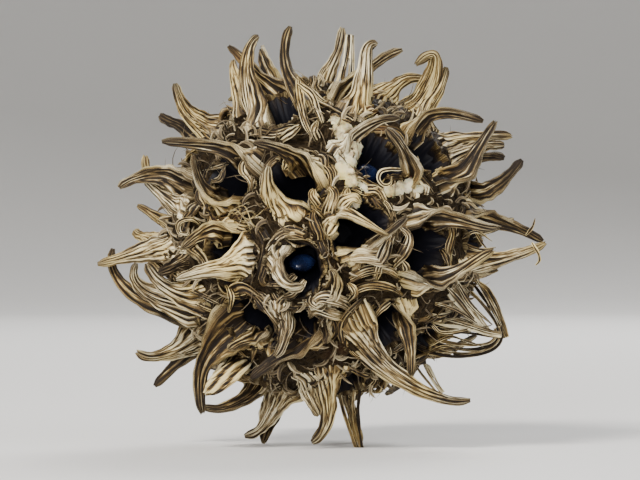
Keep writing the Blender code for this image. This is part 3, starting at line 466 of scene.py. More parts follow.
@dataclass
class Plan:
    """Where the capsules and beaks stand: the front's table, and a rule for the hidden side."""

    hidden_count: int = 16
    hidden_radius: float = 2.1 * MM
    hidden_outline: float = 14.6 * MM
    beak_wall: float = 0.7 * MM
    candidates: int = 900
    settling_rounds: int = 12

    def capsules(self) -> list[Capsule]:
        """The capsules of the whole ball, in metres from its centre."""
        draw = random.Random(SEED)
        found = [self.table_capsule(row) for row in FRONT_CAPSULES]
        for mouth in self.hidden_mouths([capsule.mouth for capsule in found]):
            found.append(Capsule(mouth, self.hidden_radius, self.hidden_beaks(mouth, draw)))
        return found

    @staticmethod
    def table_capsule(row: Capsule) -> Capsule:
        """A row of the table in metres, with its mouth as a direction."""
        beaks = []
        for beak in row.beaks:
            points = [Vector(point) * MM for point in beak[:4]]
            beaks.append(Beak(*points, beak.width, beak.turn))
        return Capsule(Vector(row.mouth).normalized(), row.radius * MM, tuple(beaks))

    def hidden_beaks(self, mouth: Vector, draw: random.Random) -> tuple:
        """Two opposite beaks that lean a little to one side.

        Args:
            mouth: the direction of the capsule's mouth.
            draw: the random draws.

        Returns:
            The two beaks.
        """
        side = across(mouth, Vector((draw.uniform(-1, 1), draw.uniform(-1, 1), draw.uniform(-1, 1))))
        lean_way = across(mouth, Vector((draw.uniform(-1, 1), draw.uniform(-1, 1), draw.uniform(-1, 1))))
        lean = lean_way * draw.uniform(0.5, 3.0) * MM
        opening = (self.hidden_radius + self.beak_wall) / CRUST_RADIUS
        beaks = []
        for facing in (side, -side):
            height = draw.uniform(15.8, 17.8) * MM
            spread = draw.uniform(0.4, 2.6) * MM
            bend = draw.uniform(0.35, 0.75)
            tip = mouth * height + facing * spread + lean
            reach = min(tip.length, LARGEST_REACH)
            outline = math.hypot(tip.x, tip.z)
            if outline > self.hidden_outline:
                tip.x *= self.hidden_outline / outline
                tip.z *= self.hidden_outline / outline
            tip = tip.normalized() * reach
            foot = (mouth * math.cos(opening) + facing * math.sin(opening)) * CRUST_RADIUS
            leave = foot + mouth * (bend * (tip - foot).length)
            beaks.append(Beak(foot, leave, tip.lerp(leave, 0.3), tip))
        return tuple(beaks)

    def hidden_mouths(self, shown: list[Vector]) -> list[Vector]:
        """Mouths spread evenly over what the table leaves free of the crust."""
        spots = spiral_directions(self.candidates)
        mouths = list(shown)
        for _ in range(self.hidden_count):
            mouths.append(max(spots, key=lambda spot: min((spot - mouth).length for mouth in mouths)))
        for _ in range(self.settling_rounds):
            cells = [Vector() for _ in mouths]
            for spot in spots:
                gaps = [(spot - mouth).length for mouth in mouths]
                cells[gaps.index(min(gaps))] += spot
            mouths = mouths[:len(shown)] + [cell.normalized() for cell in cells[len(shown):]]
        return mouths[len(shown):]


@dataclass
class Patch:
    """A piece of surface: its points, its four-sided and three-sided faces, and values at the points."""

    points: np.ndarray
    quads: np.ndarray
    tris: np.ndarray
    values: dict = field(default_factory=dict)


def ring_quads(rows: int, columns: int) -> np.ndarray:
    """The faces between rows of points that close on themselves.

    Args:
        rows: how many rows of points.
        columns: how many points a row has.

    Returns:
        Four point numbers for each face.
    """
    row, column = np.meshgrid(np.arange(rows - 1), np.arange(columns), indexing="ij")
    following = (column + 1) % columns
    corners = (row * columns + column, row * columns + following,
               (row + 1) * columns + following, (row + 1) * columns + column)
    return np.stack(corners, axis=-1).reshape(-1, 4)


def object_from_patches(name: str, patches: Sequence[Patch], material: bpy.types.Material) -> bpy.types.Object:
    """Join patches into one object at the origin.

    Args:
        name: the object's name.
        patches: its surfaces, in metres from the ball's centre.
        material: its finish.

    Returns:
        The object, linked to the scene.
    """
    quads, tris, offset = [], [], 0
    for patch in patches:
        quads.extend((patch.quads + offset).tolist())
        tris.extend((patch.tris + offset).tolist())
        offset += len(patch.points)
    points = np.concatenate([patch.points for patch in patches]) + np.array(BALL_CENTRE)
    points[:, 2] = np.maximum(points[:, 2], 0)
    mesh = bpy.data.meshes.new(name)
    mesh.from_pydata(points.tolist(), [], quads + tris)
    for key in patches[0].values:
        layer = mesh.attributes.new(key, "FLOAT", "POINT")
        layer.data.foreach_set("value", np.concatenate([patch.values[key] for patch in patches]).astype(np.float32))
    mesh.materials.append(material)
    mesh.shade_smooth()
    mesh.update()
    item = bpy.data.objects.new(name, mesh)
    bpy.context.scene.collection.objects.link(item)
    return item


def outward(patch: Patch) -> Patch:
    """Turn a closed patch's faces outwards, by the sign of the volume that it encloses."""
    quads, points = patch.quads, patch.points
    tris = np.concatenate([patch.tris, quads[:, [0, 1, 2]], quads[:, [0, 2, 3]]]).astype(int)
    first, second, third = (points[tris[:, corner]] for corner in range(3))
    volume = np.einsum("ij,ij->i", first, np.cross(second, third)).sum()
    if volume < 0:
        return Patch(points, quads[:, ::-1], patch.tris[:, ::-1], patch.values)
    return patch


def loft(points: np.ndarray, values: dict) -> Patch:
    """Close rows of points into one surface, with a point at each end.

    Args:
        points: the rows; each row closes on itself.
        values: a grid of values for each name, one value for each point.

    Returns:
        The closed surface, its faces outwards.
    """
    rows, columns = points.shape[:2]
    total = rows * columns
    ends = np.stack([points[0].mean(axis=0), points[-1].mean(axis=0)])
    number = np.arange(columns)
    following = (number + 1) % columns
    last = total - columns
    caps = (np.stack([following, number, np.full(columns, total)], axis=1),
            np.stack([last + number, last + following, np.full(columns, total + 1)], axis=1))
    kept = {}
    for key, grid in values.items():
        grid = np.broadcast_to(grid, (rows, columns))
        kept[key] = np.concatenate([grid.reshape(-1), [grid[0].mean(), grid[-1].mean()]])
    points = np.concatenate([points.reshape(-1, 3), ends])
    return outward(Patch(points, ring_quads(rows, columns), np.concatenate(caps), kept))


def unit(vectors: np.ndarray) -> np.ndarray:
    """Vectors brought to length 1."""
    return vectors / np.maximum(np.linalg.norm(vectors, axis=-1, keepdims=True), 1e-12)


class Wobble:
    """A smooth random curve between -1 and 1."""

    def __init__(self, draw: random.Random, slowest: float, fastest: float) -> None:
        """Draw three waves.

        Args:
            draw: the random draws.
            slowest: the least number of waves over a length of 1.
            fastest: the greatest number.
        """
        self.waves = [(draw.uniform(slowest, fastest), draw.uniform(0, 2 * math.pi)) for _ in range(3)]

    def __call__(self, values: np.ndarray) -> np.ndarray:
        """The curve's height at some values."""
        return sum(np.sin(2 * math.pi * pace * values + start) for pace, start in self.waves) / 3


def bezier(points: Sequence[Vector], share: float) -> tuple[Vector, Vector]:
    """A point on a cubic curve, and the curve's direction there."""
    rest = 1 - share
    start, leave, arrive, end = points
    place = (start * rest ** 3 + leave * (3 * rest ** 2 * share)
             + arrive * (3 * rest * share ** 2) + end * share ** 3)
    heading = ((leave - start) * rest ** 2 + (arrive - leave) * (2 * rest * share)
               + (end - arrive) * share ** 2)
    return place, heading.normalized()


def smooth_line(corners: np.ndarray, place: np.ndarray) -> np.ndarray:
    """A smooth line through some corners.

    Args:
        corners: the corners.
        place: where to find points: 0 is the first corner, 1 the second, and so on.

    Returns:
        The points.
    """
    padded = np.concatenate([2 * corners[:1] - corners[1:2], corners, 2 * corners[-1:] - corners[-2:-1]])
    first = np.minimum(place.astype(int), len(corners) - 2)
    share = (place - first)[:, None]
    before, start, end, after = (padded[first + step] for step in range(4))
    return 0.5 * (2 * start + (end - before) * share + (2 * before - 5 * start + 4 * end - after) * share ** 2
                  + (3 * start - before - 3 * end + after) * share ** 3)


@dataclass(frozen=True)
class StripLook:
    """How a strip of wood looks.

    Attributes:
        pale: how cream it is, from 0, dark brown, to 1.
        ribs: how many ribs run along it.
        cup: how far its edges curl up, as a share of its half width.
        torn: how far its free end is torn.
    """

    pale: float
    ribs: int = 3
    cup: float = 0.3
    torn: float = 0.0


@dataclass
class StripMaker:
    """Makes a ribbed strip of wood along a line, as a closed surface."""

    top_columns: int = 9
    under_columns: int = 4
    rib_share: float = 0.3
    wall_share: float = 0.28

    def make(self, line: np.ndarray, facing: np.ndarray, half_widths: np.ndarray, look: StripLook,
             draw: random.Random) -> Patch:
        """Build a strip.

        Args:
            line: the points of its middle line.
            facing: the way that its broad side faces at each point.
            half_widths: half its width at each point.
            look: its look.
            draw: the random draws.

        Returns:
            Its closed surface.
        """
        rows = len(line)
        heading = unit(np.gradient(line, axis=0))
        facing = unit(facing - heading * (facing * heading).sum(axis=1, keepdims=True))
        side = np.cross(heading, facing)
        top = np.linspace(-1, 1, self.top_columns)[None, :]
        under = np.linspace(1, -1, self.under_columns + 2)[1:-1][None, :]
        share = np.linspace(0, 1, rows)[:, None]
        phase = look.ribs * (top + 0.12 * np.sin(6 * share + draw.uniform(0, 6)) + 1) / 2
        crest = np.abs(np.cos(math.pi * phase)) ** 0.8
        wide = half_widths[:, None]
        wave = 1 + 0.2 * Wobble(draw, 1, 3)(share)
        sides = np.concatenate([top, under * 0.95], axis=1)
        x = wide * wave * sides
        y = wide * look.cup * sides ** 2 + wide * np.concatenate(
            [self.rib_share * crest, np.full((rows, self.under_columns), -self.wall_share)], axis=1)
        ridge = np.concatenate([crest, np.full((rows, self.under_columns), 0.62)], axis=1)
        ahead = look.torn * MM * (ridge - 0.5) * ease(share, 0.75, 1.0)
        points = (line[:, None, :] + side[:, None, :] * x[..., None] + facing[:, None, :] * y[..., None]
                  + heading[:, None, :] * ahead[..., None])
        length = np.concatenate([[0], np.linalg.norm(np.diff(line, axis=0), axis=1).cumsum()])[:, None]
        values = {
            "ridge": ridge,
            "reach": share * 0.72,
            "across": sides * wide / MM + draw.uniform(0, 20),
            "along": length / MM + draw.uniform(0, 50),
            "pale": np.full((1, 1), look.pale),
            "hollow": np.zeros((1, 1)),
        }
        return loft(points, values)


@dataclass
class BeakMaker:
    """Makes one ribbed, gutter-shaped beak as a closed surface."""

    rows: int = 44
    back_columns: int = 36
    inner_columns: int = 10
    root_depth: float = 0.9 * MM
    root_half_width: float = 1.8 * MM
    tip_half_width: float = 0.4 * MM
    root_curl: float = 1.4 * MM
    tip_curl: float = 0.1 * MM
    narrowing: float = 2.0
    flattening: float = 1.3
    turned_by: float = 0.35
    wall: float = 0.5 * MM
    edge_wall: float = 0.16 * MM
    rib_height: float = 0.5 * MM
    tip_rib_height: float = 0.16 * MM
    flare_until: float = 0.22
    flare_width: float = 0.25
    flare_curl: float = 0.2 * MM
    flare_out: float = 0.8 * MM
    open_share: float = 0.6

    def frames(self, capsule: Capsule, beak: Beak, shares: np.ndarray) -> list[tuple]:
        """Places and directions along the beak.

        Args:
            capsule: the capsule that the beak belongs to.
            beak: the beak.
            shares: shares of its length, below 0 inside the crust.

        Returns:
            For each share the place, the heading, the way the hollow side faces, and sideways.
        """
        heading = beak.foot.normalized()
        inward = across(heading, capsule.mouth * CRUST_RADIUS - beak.foot)
        broad_way = Vector((0, math.copysign(1, inward.y), 0))
        rooted = (heading * 0.55 + (beak.leave - beak.foot).normalized() * 0.45).normalized()
        found = []
        for share in shares:
            if share <= 0:
                place = beak.foot + rooted * (share * self.root_depth)
                found.append((place, heading, inward, heading.cross(inward)))
                continue
            place, following = bezier(beak[:4], share)
            inward = heading.rotation_difference(following) @ inward
            heading = following
            turned = beak.turn * min(share / self.turned_by, 1)
            facing = across(heading, inward * (1 - turned) + broad_way * turned)
            found.append((place, heading, facing, heading.cross(facing)))
        return found

    @staticmethod
    def ribs(sideways: np.ndarray, reach: np.ndarray, look: BeakLook, draw: random.Random) -> tuple:
        """The height of the ribs over a grid of places.

        Args:
            sideways: places across the beak, from -1 to 1, as one row.
            reach: places along the beak, from 0 to 1, as one column.
            look: the beak's look.
            draw: the random draws.

        Returns:
            The height of the ribs on the back, and of those on the hollow side, from 0 to 1.
        """
        starts = [draw.uniform(0, 2 * math.pi) for _ in range(4)]
        heights = np.array([draw.uniform(0.78, 1) for _ in range(look.ribs + 2)])
        warped = (sideways + 0.07 * np.sin(4 * reach + 3 * sideways + starts[0])
                  + 0.05 * np.sin(9 * reach + 2 * sideways + starts[1])
                  + 0.02 * np.sin(23 * reach + 7 * sideways + starts[2]))
        widths = np.array([draw.uniform(0.45, 1.5) for _ in range(look.ribs)]).cumsum()
        borders = np.concatenate([[0], widths / widths[-1]]) * 2 - 1
        phase = np.interp(warped, borders, np.arange(look.ribs + 1))
        number = np.clip(np.round(phase).astype(int), 0, look.ribs + 1)
        single = np.abs(np.cos(math.pi * phase)) ** draw.uniform(0.3, 0.6) * heights[number]
        double = np.abs(np.cos(2 * math.pi * phase)) ** 0.5 * (0.7 + 0.3 * heights[number])
        split = ease(draw.uniform(0.5, 0.75) - reach + 0.12 * np.sin(3 * phase + starts[3]), 0, 0.3)
        crest = (1 - split) * single + split * double
        groove_number = np.floor(phase + 0.5 * split)
        fading = 0.5 + 0.5 * np.sin(7 * reach + 2.3 * groove_number + starts[3])
        crest = 1 - (1 - crest) * (0.55 + 0.45 * fading)
        fine = np.abs(np.cos(math.pi * phase * 3.3 + starts[0] + 2 * reach)) ** 0.5 * 0.25
        crest = crest * (0.77 + fine)
        edge = ease(np.abs(sideways), 0.86, 1.0)
        groove = np.abs(np.sin(math.pi * phase)) ** 1.2 * 0.7 + fine * 0.6
        return np.maximum(crest, edge * 0.85), np.maximum(groove, edge * 0.85)

    def make(self, capsule: Capsule, beak: Beak, look: BeakLook, draw: random.Random) -> Patch:
        """Build the beak.

        Args:
            capsule: the capsule that it belongs to.
            beak: its curve.
            look: its look.
            draw: the random draws.

        Returns:
            Its closed surface.
        """
        root_rows = 4
        shares = np.concatenate([np.linspace(-1, 0, root_rows, endpoint=False),
                                 np.linspace(0, 1, self.rows - root_rows) ** 0.96])
        frames = self.frames(capsule, beak, shares)
        place, heading, facing, side = (np.array([step[index] for step in frames])[:, None, :] for index in range(4))
        reach = np.clip(shares, 0, 1)[:, None]
        left = 1 - reach
        half_width = self.tip_half_width + (self.root_half_width * beak.width - self.tip_half_width) * left ** self.narrowing
        flare = ease(self.flare_until - shares[:, None], 0, self.flare_until) ** 1.5
        root_curl = self.root_curl * min(beak.width, 1)
        curl = self.tip_curl + (root_curl - self.tip_curl) * left ** self.flattening + self.flare_curl * flare
        closing = np.sqrt(1 - 0.8 * ease(reach, 0.9, 1.0) ** 2)
        half_width = half_width * closing * (1 + self.flare_width * flare) * (1 - 0.35 * np.clip(-shares[:, None], 0, 1))
        back = np.linspace(-1, 1, self.back_columns)[None, :]
        hollow = np.linspace(1, -1, self.inner_columns + 2)[1:-1][None, :]
        crest, _ = self.ribs(back, reach, look, draw)
        seen = random.Random(draw.random())
        _, groove = self.ribs(hollow, reach, look, seen)
        rib = self.tip_rib_height + (self.rib_height - self.tip_rib_height) * left
        rib = rib * (0.25 + 0.75 * ease(shares[:, None], -1, 0.05)) * closing
        waves = [Wobble(draw, 0.6, 2.4) for _ in range(4)]
        ripple = [Wobble(draw, 3, 7) for _ in range(2)]

        def widths(sideways: np.ndarray) -> np.ndarray:
            """The half width toward each side, with its waved edges."""
            wave = np.where(sideways < 0, waves[0](reach) + 0.4 * ripple[0](reach), waves[1](reach) + 0.4 * ripple[1](reach))
            return half_width * (1 + 0.22 * wave * np.abs(sideways))

        def lift(sideways: np.ndarray) -> np.ndarray:
            """How far the gutter's sides stand in from its back."""
            wave = np.where(sideways < 0, waves[2](reach), waves[3](reach))
            return curl * np.abs(sideways) ** 1.5 + 0.25 * MM * wave * left * np.abs(sideways) ** 4

        wall = (self.edge_wall + (self.wall - self.edge_wall) * (1 - np.abs(hollow) ** 3)) * (0.6 + 0.4 * left) * closing
        x = np.concatenate([widths(back) * back, widths(hollow) * hollow * 0.97], axis=1)
        rooted = self.flare_out * flare * (0.3 + 0.7 * crest) * (1 - 0.4 * back ** 2)
        y = np.concatenate([lift(back) - rib * (crest - 0.45) - rooted,
                            lift(hollow) + wall + rib * 0.5 * (groove - 0.45)], axis=1)
        sway = 0.14 * MM * Wobble(draw, 0.5, 1.5)(reach) * np.sin(math.pi * reach)
        ragged = np.concatenate([crest, groove], axis=1)
        torn = {Tip.WORN: 0.25, Tip.TORN: 0.9, Tip.CURLED: 0.15}[look.tip] * MM
        ahead = torn * (ragged - 0.5) * ease(reach, 0.86, 1.0)
        points = place + side * (x + sway)[..., None] + facing * y[..., None] + heading * ahead[..., None]
        rows = len(shares)
        length = (beak.tip - beak.foot).length / MM
        sideways = np.concatenate([np.broadcast_to(back, (rows, self.back_columns)),
                                   np.broadcast_to(hollow, (rows, self.inner_columns)) + 3], axis=1)
        hollow_side = np.concatenate([np.zeros((rows, self.back_columns)), np.ones((rows, self.inner_columns))], axis=1)
        values = {
            "ridge": ragged,
            "reach": reach,
            "across": sideways,
            "along": reach * length + draw.uniform(0, 50),
            "pale": np.full((1, 1), min(max(look.pale + draw.uniform(-0.08, 0.08), 0), 1)),
            "hollow": hollow_side,
        }
        return loft(points, values)


    def make_open(self, capsule: Capsule, beak: Beak, look: BeakLook, draw: random.Random) -> list[Patch]:
        """Build a beak of which only the ribs are left, joined at the tip.

        Args:
            capsule: the capsule that it belongs to.
            beak: its curve.
            look: its look.
            draw: the random draws.

        Returns:
            The closed surface of each rib and of the threads between them.
        """
        shares = np.concatenate([np.linspace(-0.6, 0, 3, endpoint=False), np.linspace(0, 1, 27)])
        frames = self.frames(capsule, beak, shares)
        place, _, facing, side = (np.array([step[index] for step in frames]) for index in range(4))
        left = (1 - np.clip(shares, 0, 1))[:, None]
        root_half_width = self.root_half_width * self.open_share * beak.width
        half_width = self.tip_half_width * 0.7 + (root_half_width - self.tip_half_width * 0.7) * left ** 1.3
        curl = self.tip_curl + (self.root_curl * self.open_share - self.tip_curl) * left ** self.flattening
        strips = StripMaker()

        def path(sideways: np.ndarray) -> np.ndarray:
            """A line along the beak at some places across it."""
            return place + side * half_width * sideways + facing * (curl * np.abs(sideways) ** 1.5)

        made = []
        ribs = look.ribs + 1
        for number in range(ribs):
            sideways = (2 * number / (ribs - 1) - 1) * 0.9 + 0.12 * Wobble(draw, 0.6, 1.8)(shares)[:, None]
            size = draw.uniform(0.07, 0.14) * MM * (0.9 + 0.5 * left[:, 0] ** 0.8)
            own = StripLook(draw.choice((0.1, look.pale, look.pale + 0.2)), draw.choice((0, 0, 2)), 0.0, 0.3)
            made.append(strips.make(path(sideways), -facing, size, own, draw))
        for _ in range(look.ribs):
            low = draw.randrange(4, 16)
            chosen = slice(low, low + draw.randrange(5, 10))
            swing = np.linspace(draw.uniform(-0.8, 0.8), draw.uniform(-0.8, 0.8), len(shares[chosen]))
            line = path(np.concatenate([np.zeros(low), swing, np.zeros(len(shares) - low - len(swing))])[:, None])
            size = np.full(len(swing), draw.uniform(0.05, 0.09) * MM)
            made.append(strips.make(line[chosen], -facing[chosen], size, StripLook(look.pale, 1, 0.0), draw))
        return made


@dataclass
class Crust:
    """The body of the ball: its crumpled web and its chambers, near black partly as their dark inner
    wall and partly as painted shade.
    """

    capsules: list
    fineness: int = 7
    chamber_depth: float = 5.6 * MM
    wall_share: float = 0.38
    collar_columns: int = 64
    collar_rows: int = 4
    collar_wall: float = 0.13 * MM

    def mouth_axes(self, capsule: Capsule) -> tuple[Vector, Vector]:
        """Two directions square to a mouth's own."""
        first = across(capsule.mouth, capsule.beaks[0].foot)
        return first, capsule.mouth.cross(first)

    def uneven(self, number: int, angles: np.ndarray) -> np.ndarray:
        """The radius of a mouth at some angles round it."""
        radius = self.capsules[number].radius
        return radius * (1 + 0.06 * np.sin(3 * angles + number * 1.7) + 0.04 * np.sin(5 * angles + number * 2.9))

    def directions(self, number: int, angle: np.ndarray, out: np.ndarray) -> np.ndarray:
        """Directions round a mouth.

        Args:
            number: the capsule's number.
            angle: angles round the mouth.
            out: distances from its middle, along the crust.

        Returns:
            The unit vectors.
        """
        capsule = self.capsules[number]
        first, second = (np.array(way) for way in self.mouth_axes(capsule))
        bend = out / CRUST_RADIUS
        return (np.cos(bend)[:, None] * np.array(capsule.mouth) + np.sin(bend)[:, None]
                * (np.cos(angle)[:, None] * first + np.sin(angle)[:, None] * second))

    def clear_of_mouths(self, ways: np.ndarray, room: float) -> np.ndarray:
        """Move directions sideways until they leave every mouth some room.

        Args:
            ways: the directions.
            room: the room, along the crust.

        Returns:
            The moved directions.
        """
        for _ in range(3):
            for capsule in self.capsules:
                mouth = np.array(capsule.mouth)
                apart = np.arccos(np.clip(ways @ mouth, -1, 1)) * CRUST_RADIUS
                short = np.maximum(capsule.radius + room - apart, 0) / CRUST_RADIUS
                away = unit(ways - mouth * (ways @ mouth)[:, None])
                ways = unit(ways + away * short[:, None])
        return ways

    def surface(self) -> Patch:
        """The web between the mouths and the chambers below them, as one closed surface."""
        bm = bmesh.new()
        bmesh.ops.create_icosphere(bm, subdivisions=self.fineness, radius=1)
        directions = np.array([vert.co.normalized() for vert in bm.verts])
        tris = np.array([[vert.index for vert in face.verts] for face in bm.faces])
        bm.free()
        mouths = np.array([capsule.mouth for capsule in self.capsules])
        radii = np.array([capsule.radius for capsule in self.capsules])
        apart = np.arccos(np.clip(directions @ mouths.T, -1, 1)) * CRUST_RADIUS
        nearest = np.argmin(apart - radii, axis=1)
        angle = np.zeros(len(directions))
        gap = np.zeros(len(directions))
        for number, capsule in enumerate(self.capsules):
            here = nearest == number
            first, second = self.mouth_axes(capsule)
            angle[here] = np.arctan2(directions[here] @ np.array(second), directions[here] @ np.array(first))
            gap[here] = apart[here, number] - self.uneven(number, angle[here])
        rib = np.abs(np.cos(5.5 * angle + 1.3 * np.sin(3 * angle + nearest)))
        crumple = np.array([noise.ridged_multi_fractal(Vector(way) * 9, 0.9, 2.1, 4, 0.9, 2.0) for way in directions])
        crumple = np.clip(crumple / 2.2, 0, 1)
        fine = np.array([noise.turbulence(Vector(way) * 26, 3, True) for way in directions])
        near = np.exp(-np.maximum(gap, 0) / (0.7 * MM))
        relief = 0.75 * crumple + 0.3 * fine + 0.35 * rib * near - 0.1
        inside = np.clip(-gap / (self.wall_share * radii[nearest]), 0, 1)
        sunk = self.chamber_depth * (1 - (1 - inside) ** 2)
        reach = CRUST_RADIUS + relief * MM * (1 - ease(inside, 0, 0.3)) - sunk
        values = {
            # Raised crumples and ribs get a high ridge value and a paler colour, low places a darker one: partly the
            # crust's own tone, partly painted shade.
            "ridge": np.clip(0.55 * crumple + 0.45 * rib * near + 0.25 * (fine - 0.5), 0, 1),
            "reach": np.zeros(len(directions)),
            "across": angle * 1.5,
            "along": gap / MM + nearest * 3.1,
            # Raised crumples are paler here too: partly the crust's own tone, partly painted shade.
            "pale": np.full(len(directions), 0.3) + 0.4 * (crumple - 0.5),
            "hollow": np.zeros(len(directions)),
            # From 0.3 mm outside each mouth's rim inward the colour runs to near black: partly the dark inner wall,
            # partly painted shade in the chamber.
            "depth": ease(-gap / MM, -0.3, 0.05),
            "web": ease(gap / MM, 0.1, 0.4),
        }
        return Patch(directions * reach[:, None], np.zeros((0, 4), int), tris, values)

    def collar(self, number: int, draw: random.Random) -> Patch:
        """The torn papery inner wall that stands up round a mouth, darker toward its foot partly as its
        own dark colour and partly as painted shade.

        Args:
            number: the capsule's number.
            draw: the random draws.

        Returns:
            Its closed surface.
        """
        angle = np.linspace(0, 2 * math.pi, self.collar_columns, endpoint=False)
        share = angle / (2 * math.pi)
        starts = [draw.uniform(0, 2 * math.pi) for _ in range(6)]
        height = (0.42 + 0.25 * np.sin(2 * angle + starts[0]) + 0.2 * np.sin(5 * angle + starts[1])
                  + 0.14 * np.sin(11 * angle + starts[2]) + 0.1 * np.sin(23 * angle + starts[3]))
        height = np.clip(height, 0.05, 0.9) * MM
        lean = (0.25 + 0.3 * np.sin(3 * angle + starts[4]) + 0.2 * np.sin(7 * angle + starts[5])) * MM
        rib = np.abs(np.cos(10 * angle + 1.2 * np.sin(4 * angle + starts[0])))
        rise = np.linspace(0, 1, self.collar_rows)
        rows, crests = [], []
        opening = self.uneven(number, angle)
        for wall, order in ((0.0, rise), (self.collar_wall, rise[::-1])):
            for up in order:
                out = opening + (lean * up ** 1.6 - 0.10 * MM * rib * (0.4 + 0.6 * up)) + wall * (1 if wall else 0)
                ways = self.directions(number, angle, out)
                level = CRUST_RADIUS - 0.7 * MM + (height + 0.9 * MM) * up
                rows.append(ways * level[:, None])
                # Paler toward the top and on the ribs, darker at the foot: partly the collar's own tone, partly painted
                # shade.
                crests.append(np.clip(0.35 + 0.65 * rib * up + 0.2 * up, 0, 1))
        points = np.stack(rows)
        count = len(rows)
        quads = ring_quads(count, self.collar_columns)
        closing = np.stack([(count - 1) * self.collar_columns + np.arange(self.collar_columns),
                            (count - 1) * self.collar_columns + (np.arange(self.collar_columns) + 1) % self.collar_columns,
                            (np.arange(self.collar_columns) + 1) % self.collar_columns,
                            np.arange(self.collar_columns)], axis=1)
        quads = np.concatenate([quads, closing])
        total = points.shape[0] * points.shape[1]
        up = np.concatenate([rise, rise[::-1]])[:, None] * np.ones((1, self.collar_columns))
        values = {
            "ridge": np.stack(crests).reshape(-1),
            "reach": (up * 0.5).reshape(-1),
            "across": np.broadcast_to(share * 20, up.shape).reshape(-1),
            "along": up.reshape(-1) + number,
            "pale": np.full(total, draw.uniform(0.35, 0.8)),
            "hollow": np.zeros(total),
            # The foot runs toward the near-black chamber colour: partly the dark inner wall, partly painted shade.
            "depth": (0.8 * (1 - ease(up, 0.3, 0.7))).reshape(-1),
            "web": np.zeros(total),
        }
        return Patch(points.reshape(-1, 3), quads, np.zeros((0, 3), int), values)


@dataclass
class Rims:
    """What stands round the mouths: folds that run along the web, and torn lobes."""

    crust: Crust
    strips: StripMaker = field(default_factory=StripMaker)
    folds: int = 7
    fold_rows: int = 17
    lobes: int = 4
    lobe_rows: int = 11

    def fold(self, number: int, draw: random.Random) -> Patch:
        """A ribbed fold that runs part of the way round a mouth.

        Args:
            number: the capsule's number.
            draw: the random draws.

        Returns:
            Its closed surface.
        """
        share = np.linspace(0, 1, self.fold_rows)
        angle = draw.uniform(0, 2 * math.pi) + draw.uniform(0.8, 2.3) * share
        out = self.crust.uneven(number, angle) + (draw.uniform(0.3, 1.2) + 0.35 * Wobble(draw, 0.5, 2)(share)) * MM
        ways = self.crust.clear_of_mouths(self.crust.directions(number, angle, out), 0.3 * MM)
        for _ in range(3):
            ways[1:-1] = unit(ways[:-2] + 2 * ways[1:-1] + ways[2:])
        rise = draw.uniform(0.25, 0.65) + 0.35 * Wobble(draw, 0.6, 2.2)(share) - 0.9 * (2 * share - 1) ** 4
        mouth = np.array(self.crust.capsules[number].mouth)
        facing = ways + unit(mouth - ways * (ways @ mouth)[:, None]) * draw.uniform(-0.9, 0.9)
        half_widths = draw.uniform(0.22, 0.5) * MM * (0.15 + np.sin(math.pi * share)) ** 0.6
        look = StripLook(draw.uniform(0.0, 0.7), draw.choice((2, 3, 3, 4)), draw.uniform(-0.5, 0.7))
        return self.strips.make(ways * (CRUST_RADIUS + rise * MM)[:, None], facing, half_widths, look, draw)

    def lobe(self, number: int, draw: random.Random) -> Patch:
        """A torn, ribbed lobe that stands up at a mouth's rim.

        Args:
            number: the capsule's number.
            draw: the random draws.

        Returns:
            Its closed surface.
        """
        angle = np.array([draw.uniform(0, 2 * math.pi)])
        out = self.crust.uneven(number, angle) + draw.uniform(0.1, 0.6) * MM
        foot = self.crust.clear_of_mouths(self.crust.directions(number, angle, out), 0.1 * MM)[0]
        mouth = np.array(self.crust.capsules[number].mouth)
        inward = unit(mouth - foot * (foot @ mouth))
        swing = inward * draw.uniform(-1.2, 0.25) + np.cross(foot, inward) * draw.uniform(-0.6, 0.6)
        length = draw.uniform(0.7, 1.6) * MM
        share = np.linspace(0, 1, self.lobe_rows)
        line = (foot * (CRUST_RADIUS - 0.3 * MM) + np.outer(share - 0.3 * share ** 2, foot) * (length + 0.3 * MM)
                + np.outer(share ** 1.8, swing) * length * 0.8)
        half_widths = (length * draw.uniform(0.22, 0.36) * (0.5 + 0.5 * np.sin(math.pi / 2 * np.minimum(share / 0.6, 1)))
                       * np.sqrt(1 - 0.85 * ease(share, 0.65, 1.0)))
        facing = np.broadcast_to(inward + 0.3 * np.cross(foot, inward), line.shape)
        look = StripLook(draw.choice((0.2, 0.4, 0.6, 0.9)), draw.choice((3, 4)), draw.uniform(-0.2, 0.8), 0.35)
        return self.strips.make(line, facing, half_widths, look, draw)

    def frill(self, frill: Frill, draw: random.Random) -> Patch:
        """One of the named strips on the front.

        Args:
            frill: its row of the table.
            draw: the random draws.

        Returns:
            Its closed surface.
        """
        corners = []
        for x, z, distance in frill.points:
            corners.append((x, -math.sqrt(max(distance ** 2 - x ** 2 - z ** 2, 0)), z))
        corners = np.array(corners) * MM
        steps = 6 * (len(corners) - 1) + 1
        place = np.linspace(0, len(corners) - 1, steps)
        line = smooth_line(corners, place)
        share = place / place[-1]
        half_widths = frill.half_width * MM * (0.55 + 0.45 * np.sin(math.pi * np.minimum(share * 1.1, 1) ** 0.8))
        half_widths = half_widths * np.sqrt(1 - 0.8 * ease(share, 0.8, 1.0))
        facing = np.broadcast_to(np.array((0.15, -1, 0.35)), line.shape)
        look = StripLook(frill.pale, frill.ribs, frill.cup, frill.torn)
        return self.strips.make(line, facing, half_widths, look, draw)

    def strips_of(self, kind: str) -> list[Patch]:
        """Every fold, or every lobe, of the ball."""
        draw = random.Random(SEED + len(kind))
        make, count = {"fold": (self.fold, self.folds), "lobe": (self.lobe, self.lobes)}[kind]
        bare = {lodged.capsule for lodged in LODGED_SEEDS} if kind == "lobe" else set()
        return [make(number, draw) for number in range(len(self.crust.capsules)) if number not in bare
                for _ in range(count)]


@dataclass(frozen=True)
class Stop:
    """A colour of a ramp and where it stands."""

    place: float
    colour: tuple


